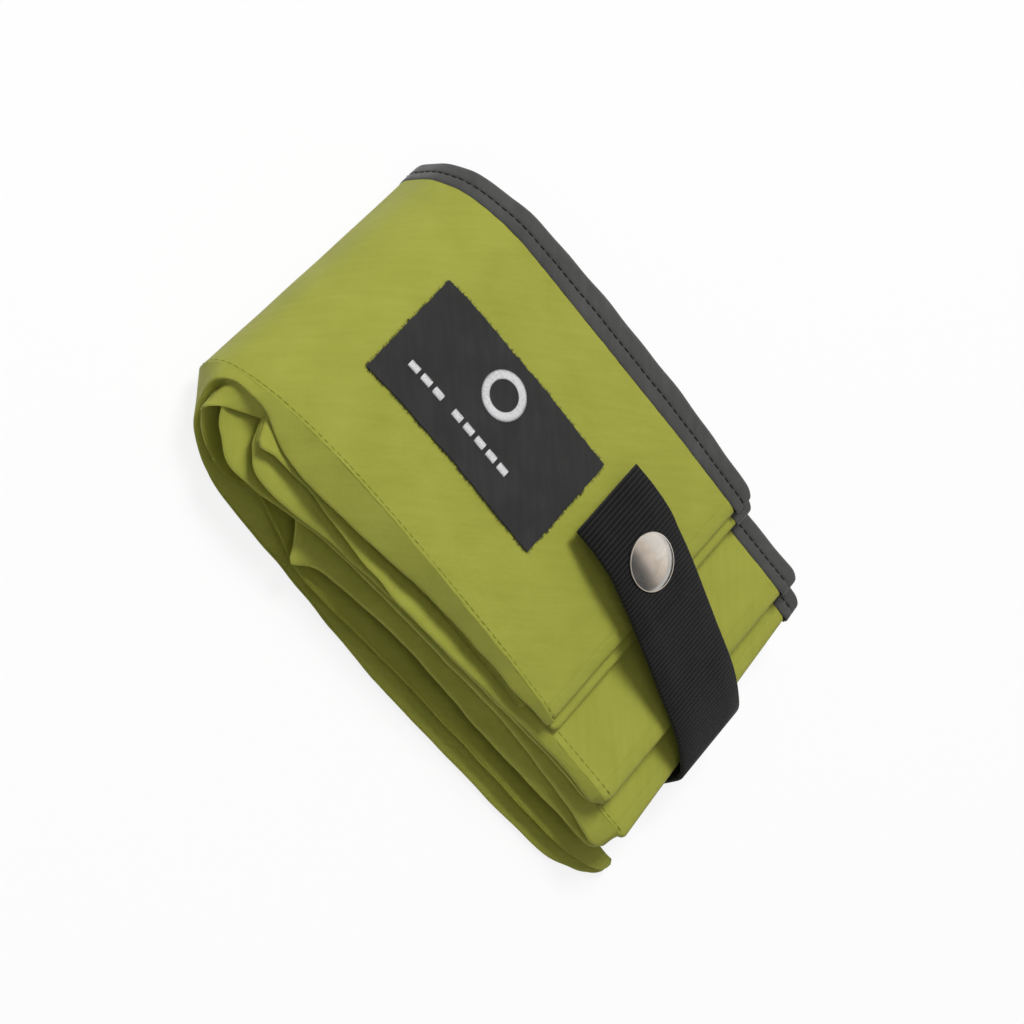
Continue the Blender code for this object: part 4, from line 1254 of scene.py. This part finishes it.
@dataclass
class Strap:
    """The black webbing strap with the snap at its free end."""

    outfit: Outfit
    width: float = 33 * MM
    thickness: float = 1.5 * MM
    drift: float = -0.144
    rib: float = 1.45 * MM
    rib_depth: float = 0.28 * MM
    edge: float = 0.6 * MM

    def section(self) -> list[tuple[float, float]]:
        """The webbing's cross-section, once round from its upper left edge."""
        half = self.thickness / 2
        side = self.width / 2
        flat = side - self.edge
        bulge = side - self.edge * 0.2
        return [(-flat, half), (-side / 2, half), (0, half), (side / 2, half), (flat, half),
                (bulge, half * 0.7), (side, 0), (bulge, -half * 0.7),
                (flat, -half), (side / 2, -half), (0, -half), (-side / 2, -half), (-flat, -half),
                (-bulge, -half * 0.7), (-side, 0), (-bulge, half * 0.7)]

    def make_stretch(self, name: str, route: Line, start_length: float, ribs: float) -> tuple:
        """One stretch of webbing as a closed band with ribs.

        Args:
            name: The piece's name.
            route: Places in X and Z, in millimetres.
            start_length: The strap's length before this stretch.
            ribs: How much of the rib's depth shows.

        Returns:
            The piece and the strap's length after it.
        """
        tip_y = BENCH.box("strap_tab")[1].y - self.width / 2
        fine = smooth_line(np.array(route, float) * MM, 24)
        total = lengths_along(fine)[-1]
        count = max(int(total / (self.rib / 6)), 4)
        line = evenly(fine, count + 1)
        run = lengths_along(line) + start_length
        up = left_of(line)
        half = self.thickness / 2
        section = self.section()
        verts = []
        for (x, z), out, length in zip(line, up, run):
            wave = ribs * self.rib_depth * math.sin(math.tau * length / self.rib)
            middle = tip_y + self.drift * length
            for y, off in section:
                lift = off + math.copysign(wave, off) * (abs(off) >= half * 0.99)
                verts.append((x + out[0] * lift, middle + y, z + out[1] * lift))
        size = len(section)
        rows = len(line)
        faces = []
        for row in range(rows - 1):
            for number in range(size):
                other = (number + 1) % size
                faces.append((row * size + number, row * size + other, (row + 1) * size + other,
                              (row + 1) * size + number))
        faces.append(tuple(reversed(range(size))))
        faces.append(tuple((rows - 1) * size + number for number in range(size)))
        data = bpy.data.meshes.new(name)
        data.from_pydata(BENCH.place(np.array(verts)).tolist(), [], faces)
        around = lengths_along(np.array([*section, section[0]]))
        layer = data.uv_layers.new(name="UVMap")
        values = []
        for face in data.polygons:
            for vert in face.vertices:
                values += [run[vert // size], around[vert % size]]
        layer.data.foreach_set("uv", values)
        data.shade_smooth()
        data.set_sharp_from_angle(angle=math.radians(50))
        data.materials.append(self.outfit.webbing)
        piece = bpy.data.objects.new(name, data)
        bpy.context.scene.collection.objects.link(piece)
        select_only(piece)
        bpy.ops.object.mode_set(mode="EDIT")
        tidy_normals()
        return piece, start_length + total

    def build(self) -> None:
        """Make the three stretches, and put the root on its body."""
        tab, length = self.make_stretch("strap_tab_webbing", TAB_ROUTE, 0.0, 1.0)
        span, length = self.make_stretch("strap_span_webbing", SPAN_ROUTE, length, 0.6)
        root = self.make_stretch("strap_root_webbing", ROOT_ROUTE, length, 0.6)[0]
        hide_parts("strap_tab")
        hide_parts("strap_span")
        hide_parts("strap_root")
        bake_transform(tab)
        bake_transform(span)
        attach(root, "back_half")
        LOG.info("strap built")


def turned_piece(name: str, profile: Line, segments: int, material: Finish) -> Piece:
    """A round piece made from a disc by extruding and scaling its face up a profile.

    Args:
        name: The piece's name.
        profile: Radius and height at each step, from the bottom to the top.
        segments: Sides round it.
        material: Its finish.

    Returns:
        The piece, about its own upright axis.
    """
    bpy.ops.object.select_all(action="DESELECT")
    radius, height = profile[0]
    bpy.ops.mesh.primitive_circle_add(vertices=segments, radius=radius, fill_type="NGON",
                                      location=(0, 0, height))
    piece = bpy.context.object
    piece.name = name
    piece.data.name = name
    bpy.ops.object.mode_set(mode="EDIT")
    bpy.ops.mesh.select_all(action="SELECT")
    for next_radius, next_height in profile[1:]:
        bpy.ops.mesh.extrude_region_move(TRANSFORM_OT_translate={"value": (0, 0, next_height - height)})
        ratio = next_radius / radius
        bpy.ops.transform.resize(value=(ratio, ratio, 1))
        radius, height = next_radius, next_height
    tidy_normals()
    piece.data.transform(piece.matrix_world)
    piece.matrix_world = Matrix.Identity(4)
    bpy.ops.object.shade_smooth_by_angle(angle=math.radians(40))
    piece.data.materials.append(material)
    return piece


# The cap's rolled rim from the bottom up, in millimetres: in from its edge, and height
CAP_RIM = [(0.9, 0.0), (0.25, 0.04), (0.0, 0.3), (0.08, 0.52), (0.3, 0.62)]


@dataclass
class Snap:
    """The snap's domed cap on the strap."""

    outfit: Outfit
    centre_x: float = 141.5 * MM
    centre_z: float = 47.1 * MM
    tilt: float = math.radians(14)
    radius: float = 9.7 * MM
    height: float = 3.7 * MM
    rim: float = 0.6 * MM
    seat: float = 1.05 * MM
    dome_inset: float = 0.4 * MM
    dome_steps: int = 16
    tip: float = 0.05 * MM

    def build(self) -> None:
        """Make the cap and put it on the strap's tab."""
        profile = [(self.radius - inset * MM, height * MM) for inset, height in CAP_RIM]
        chord = self.radius - self.dome_inset
        rise = self.height - self.rim
        ball = (chord ** 2 + rise ** 2) / (2 * rise)
        for step in range(self.dome_steps):
            angle = math.asin(chord / ball) * (1 - step / self.dome_steps)
            profile.append((ball * math.sin(angle), self.height - ball * (1 - math.cos(angle))))
        profile.append((self.tip, self.height))
        cap = turned_piece("snap_cap_dome", profile, 64, self.outfit.metal)
        turn = Matrix.Rotation(self.tilt, 4, "Y")
        low, high = BENCH.box("snap_cap")
        place = Matrix.Translation(Vector(BENCH.place((self.centre_x, (low.y + high.y) / 2, self.centre_z))))
        cap.data.transform(place @ turn @ Matrix.Translation((0, 0, self.seat)))
        dress(cap, "snap_metal", "strap_end", "snap_cap")
        LOG.info("snap built")


# The label's plain bars: the space after each, in millimetres
BAR_GAPS = (1.6, 1.6, 5.2, 1.6, 1.6, 1.6, 1.6, 0.0)


@dataclass
class Label:
    """The woven label on the front leaf, with a plain ring and a row of bars."""

    outfit: Outfit
    thickness: float = 0.5 * MM
    lift: float = 0.3 * MM
    ring_inner: float = 5.2 * MM
    ring_outer: float = 8.5 * MM
    bars_y: float = -9.5 * MM
    thread: float = 0.5 * MM
    bar_start: float = 8.5 * MM
    bar_width: float = 4.0 * MM
    bar_height: float = 3.0 * MM
    fray: float = 0.35 * MM
    dimple: float = 0.16 * MM
    fringe_pitch: float = 0.42 * MM

    def build(self, wall: Wall) -> None:
        """Make the patch, its frayed edge, the ring and the bars.

        Args:
            wall: The wall that the label is sewn on.
        """
        low, high = BENCH.box("label_patch")
        x = np.linspace(low.x, high.x, 78)
        y = np.linspace(high.y, low.y, 43)
        points = np.array([[self.spot(wall, a, b, self.lift) for b in y] for a in x])
        middle = np.array([(low.x + high.x) / 2, (low.y + high.y) / 2])
        for place in points.reshape(-1, 3):
            reach = place[:2] - middle
            edge = max(abs(reach[0]) / (high.x - low.x), abs(reach[1]) / (high.y - low.y)) * 2
            wave = self.fray * noise.noise(Vector((place[0] * 260, place[1] * 260, 3.0)))
            slow = self.fray * noise.noise(Vector((place[0] * 45, place[1] * 45, 9.0)))
            place[:2] += reach / np.linalg.norm(reach) * (wave + slow) * edge ** 8
            place[2] += self.dimple * noise.noise(Vector((place[0] * 120, place[1] * 120, 1.0)))
        patch = make_sheet("label_cloth_patch", points, self.thickness, self.outfit.label, 1.0)
        fringe = self.make_fringe(points)
        motif = self.make_motif(wall)
        dress(patch, "label_cloth", "front_half", "label_patch")
        dress(fringe, "label_cloth", "front_half")
        dress(motif, "label_thread", "front_half", "label_ring")
        LOG.info("label built")

    def spot(self, wall: Wall, x: float, y: float, lift: float) -> tuple[float, float, float]:
        """A place over the leaf's outer face."""
        return x, y, wall.surface(x, y) + lift

    def make_fringe(self, points: Points) -> Piece:
        """Loose yarn ends round the patch's cut edge."""
        rim = np.concatenate([points[:-1, 0], points[-1, :-1], points[:0:-1, -1], points[0, :0:-1]])
        rim = np.concatenate([rim, rim[:1]])
        run = lengths_along(rim)
        draw = np.random.default_rng(7)
        count = int(run[-1] / self.fringe_pitch)
        where = draw.uniform(0, run[-1], count)
        here = at_lengths(rim, run, where)
        centre = points.reshape(-1, 3).mean(axis=0)
        low, high = points.reshape(-1, 3).min(axis=0), points.reshape(-1, 3).max(axis=0)
        offset = (here - centre) / (high - low)[None, :]
        sideways = np.abs(offset[:, 0]) > np.abs(offset[:, 1])
        ways = np.where(sideways[:, None], np.sign(offset[:, :1]) * [[1.0, 0, 0]],
                        np.sign(offset[:, 1:2]) * [[0, 1.0, 0]])
        ways = unit(ways + draw.normal(0, 0.5, (count, 3)) * [1, 1, 0.25])
        length = draw.uniform(0.5, 1.5, count) * MM
        width = draw.uniform(0.10, 0.2, count) * MM
        sizes = np.stack([length, width, width], axis=1)
        here += ways * length[:, None] * 0.32
        here[:, 2] += self.thickness / 2
        return make_threads("label_frayed_edge", here, ways, np.tile([0, 0, 1.0], (count, 1)), sizes,
                            self.outfit.label)

    def make_motif(self, wall: Wall) -> Piece:
        """A plain satin-stitched ring and a row of plain stitched bars."""
        low, high = BENCH.box("label_ring")
        centre = np.array([(low.x + high.x) / 2, (low.y + high.y) / 2])
        spots, ways, lengths = [], [], []
        count = int(math.tau * self.ring_outer / self.thread)
        for number in range(count):
            angle = math.tau * number / count
            way = np.array([math.cos(angle), math.sin(angle)])
            spots.append(centre + way * (self.ring_inner + self.ring_outer) / 2)
            ways.append(way)
            lengths.append(self.ring_outer - self.ring_inner)
        start = BENCH.box("label_patch")[0].x + self.bar_start
        threads = int(self.bar_width / (0.85 * self.thread))
        for gap in BAR_GAPS:
            for number in range(threads):
                spots.append(np.array([start + self.bar_width * (number + 0.5) / threads, self.bars_y]))
                ways.append(np.array([0.0, 1.0]))
                lengths.append(self.bar_height)
            start += self.bar_width + gap * MM
        top = self.lift + self.thickness + 0.12 * MM
        places = np.array([self.spot(wall, x, y, top) for x, y in spots])
        flat_ways = np.array([[x, y, 0.0] for x, y in ways])
        sizes = np.stack([np.array(lengths), np.full(len(lengths), self.thread * 1.15),
                          np.full(len(lengths), 0.5 * MM)], axis=1)
        return make_threads("label_stitched_ring_and_bars", places, flat_ways,
                            np.tile([0, 0, 1.0], (len(places), 1)), sizes, self.outfit.motif)


# Lamps: name, place, size and power
LAMPS = (("key", (-0.85, 0.95, 2.15), 0.9, 44.0), ("fill", (-0.2, -0.8, 1.9), 1.2, 5.0))
# What polished metal mirrors, from the dark side of the room to the bright one
ROOM_TONES = [
    (0.0, (0.12, 0.12, 0.12)), (0.22, (0.26, 0.24, 0.22)), (0.42, (0.62, 0.56, 0.51)),
    (0.65, (0.80, 0.71, 0.63)), (0.9, (1.0, 0.97, 0.93)),
]


@dataclass
class Studio:
    """Floor, lamps and the camera at the photograph's angle."""

    lens_fov: float = math.radians(16)
    sensor: float = 36.0
    floor_gap: float = 0.02 * MM
    eye: tuple = (-0.2006, -0.5684, 0.9890)
    right: tuple = (0.6138, 0.5823, 0.5330)
    down: tuple = (0.7444, -0.6518, -0.1451)
    ahead: tuple = (0.2629, 0.4858, -0.8336)
    daylight: float = 0.19
    bright_side: tuple = (0.1, 0.9, 0.3)

    def build(self) -> None:
        """Make the floor, the world, the lamps and the camera."""
        self.make_floor()
        self.make_world()
        for name, spot, size, power in LAMPS:
            bpy.ops.object.light_add(type="AREA", location=spot)
            lamp = bpy.context.object
            lamp.name = name
            lamp.data.size = size
            lamp.data.energy = power
            lamp.visible_glossy = False
            lamp.rotation_euler = (-Vector(spot)).to_track_quat("-Z", "Y").to_euler()
        self.make_camera()
        bpy.context.scene.view_settings.view_transform = "Standard"
        LOG.info("studio built")

    def make_floor(self) -> None:
        """A pale floor that keeps the bundle's shadow."""
        bpy.ops.object.select_all(action="DESELECT")
        bpy.ops.mesh.primitive_plane_add(size=12, location=(0, 0, -self.floor_gap))
        floor = bpy.context.object
        floor.name = "floor"
        n = Nodes(bpy.data.materials.new("pale_floor"))
        n.finish(Base_Color=(0.9, 0.9, 0.9, 1), Roughness=0.9)
        glow = n.add("Emission", Color=(1, 1, 1, 1), Strength=1.03)
        seen = n.math("MULTIPLY", n.add("LightPath").outputs["Is Camera Ray"], 0.82)
        n.show_mix(seen, n.shader.outputs["BSDF"], glow.outputs["Emission"], "Material Output")
        floor.data.materials.append(n.owner)

    def make_camera(self) -> None:
        """The camera that sees the bundle as the photograph does."""
        bpy.ops.object.camera_add()
        camera = bpy.context.object
        turn = Matrix((Vector(self.right), -Vector(self.down), -Vector(self.ahead))).transposed().to_4x4()
        camera.matrix_world = Matrix.Translation(Vector(BENCH.place(self.eye))) @ turn
        camera.data.sensor_width = self.sensor
        camera.data.lens = self.sensor / 2 / math.tan(self.lens_fov / 2)
        bpy.context.scene.camera = camera

    def make_world(self) -> None:
        """Soft even light, with a dark side that only reflections see."""
        world = bpy.data.worlds.new("studio")
        bpy.context.scene.world = world
        n = Nodes(world)
        plain = n.tree.nodes["Background"]
        plain.inputs["Color"].default_value = (1, 1, 1, 1)
        plain.inputs["Strength"].default_value = self.daylight
        room = n.add("Background")
        facing = n.add("VectorMath", operation="DOT_PRODUCT")
        facing.inputs[1].default_value = self.bright_side
        n.link(n.add("TexCoord").outputs["Generated"], facing.inputs[0])
        n.link(n.ramp(facing.outputs["Value"], ROOM_TONES), room.inputs["Color"])
        mirrored = n.add("LightPath").outputs["Is Glossy Ray"]
        n.show_mix(mirrored, plain.outputs["Background"], room.outputs["Background"], "World Output")


def dress_boards(outfit: Outfit) -> None:
    """Give the carried-over boards and snap parts their finishes."""
    for name, node in frame["nodes"].items():
        board = name.endswith("_board")
        if board or (name.startswith("snap_") and name != "snap_cap"):
            node.data.materials.clear()
            node.data.materials.append(outfit.board if board else outfit.metal)


def main() -> None:
    """Build every piece, then the floor, lamps and camera."""
    logging.basicConfig(level=logging.INFO, format="%(message)s")
    green = Cloth("olive_cloth", (0.376, 0.390, 0.060), (0.333, 0.350, 0.050), (0.413, 0.429, 0.073),
                  sheen=0.04)
    lining = Cloth("coated_lining", (0.30, 0.31, 0.12), (0.27, 0.28, 0.10), (0.33, 0.34, 0.14), 0.45, 0.05)
    tape = Cloth("grey_tape", (0.078, 0.078, 0.076), (0.06, 0.06, 0.06), (0.10, 0.10, 0.098), 0.75, 0.3,
                 ripple_depth=0.03 * MM, crease_depth=0.15 * MM)
    label = Cloth("label_weave", (0.038, 0.038, 0.038), (0.03, 0.03, 0.03), (0.05, 0.05, 0.05), 0.85, 0.2)
    outfit = Outfit(
        cover=green.build(),
        lining=lining.build(),
        tape=tape.build(),
        thread=Board("dark_thread", (0.03, 0.03, 0.03)).build(),
        green_thread=Board("olive_thread", (0.30, 0.315, 0.04)).build(),
        webbing=Webbing("black_webbing", (0.012, 0.012, 0.0125)).build(),
        metal=Metal("nickel", (0.72, 0.69, 0.65)).build(),
        board=Board("grey_board", (0.55, 0.50, 0.42)).build(),
        label=label.build(),
        motif=Board("pale_thread", (0.85, 0.85, 0.86)).build(),
    )
    outer = OuterWall(outfit)
    outer.build()
    InnerWall(outfit).build()
    ShortWall(outfit, "short_wall_right", "front_half", 35.5 * MM).build_right(outer.wall())
    ShortWall(outfit, "short_wall_left", "back_half", 61 * MM).build_left()
    for side, body in (("front", "front_half"), ("back", "back_half")):
        for level in ("upper", "lower"):
            node = f"base_pleat_{side}_{level}"
            make_pleat_bag(node + "_cloth", node, outfit, body)
    Strap(outfit).build()
    Snap(outfit).build()
    Label(outfit).build(outer.wall())
    dress_boards(outfit)
    Studio().build()


if __name__ == "__main__":
    main()
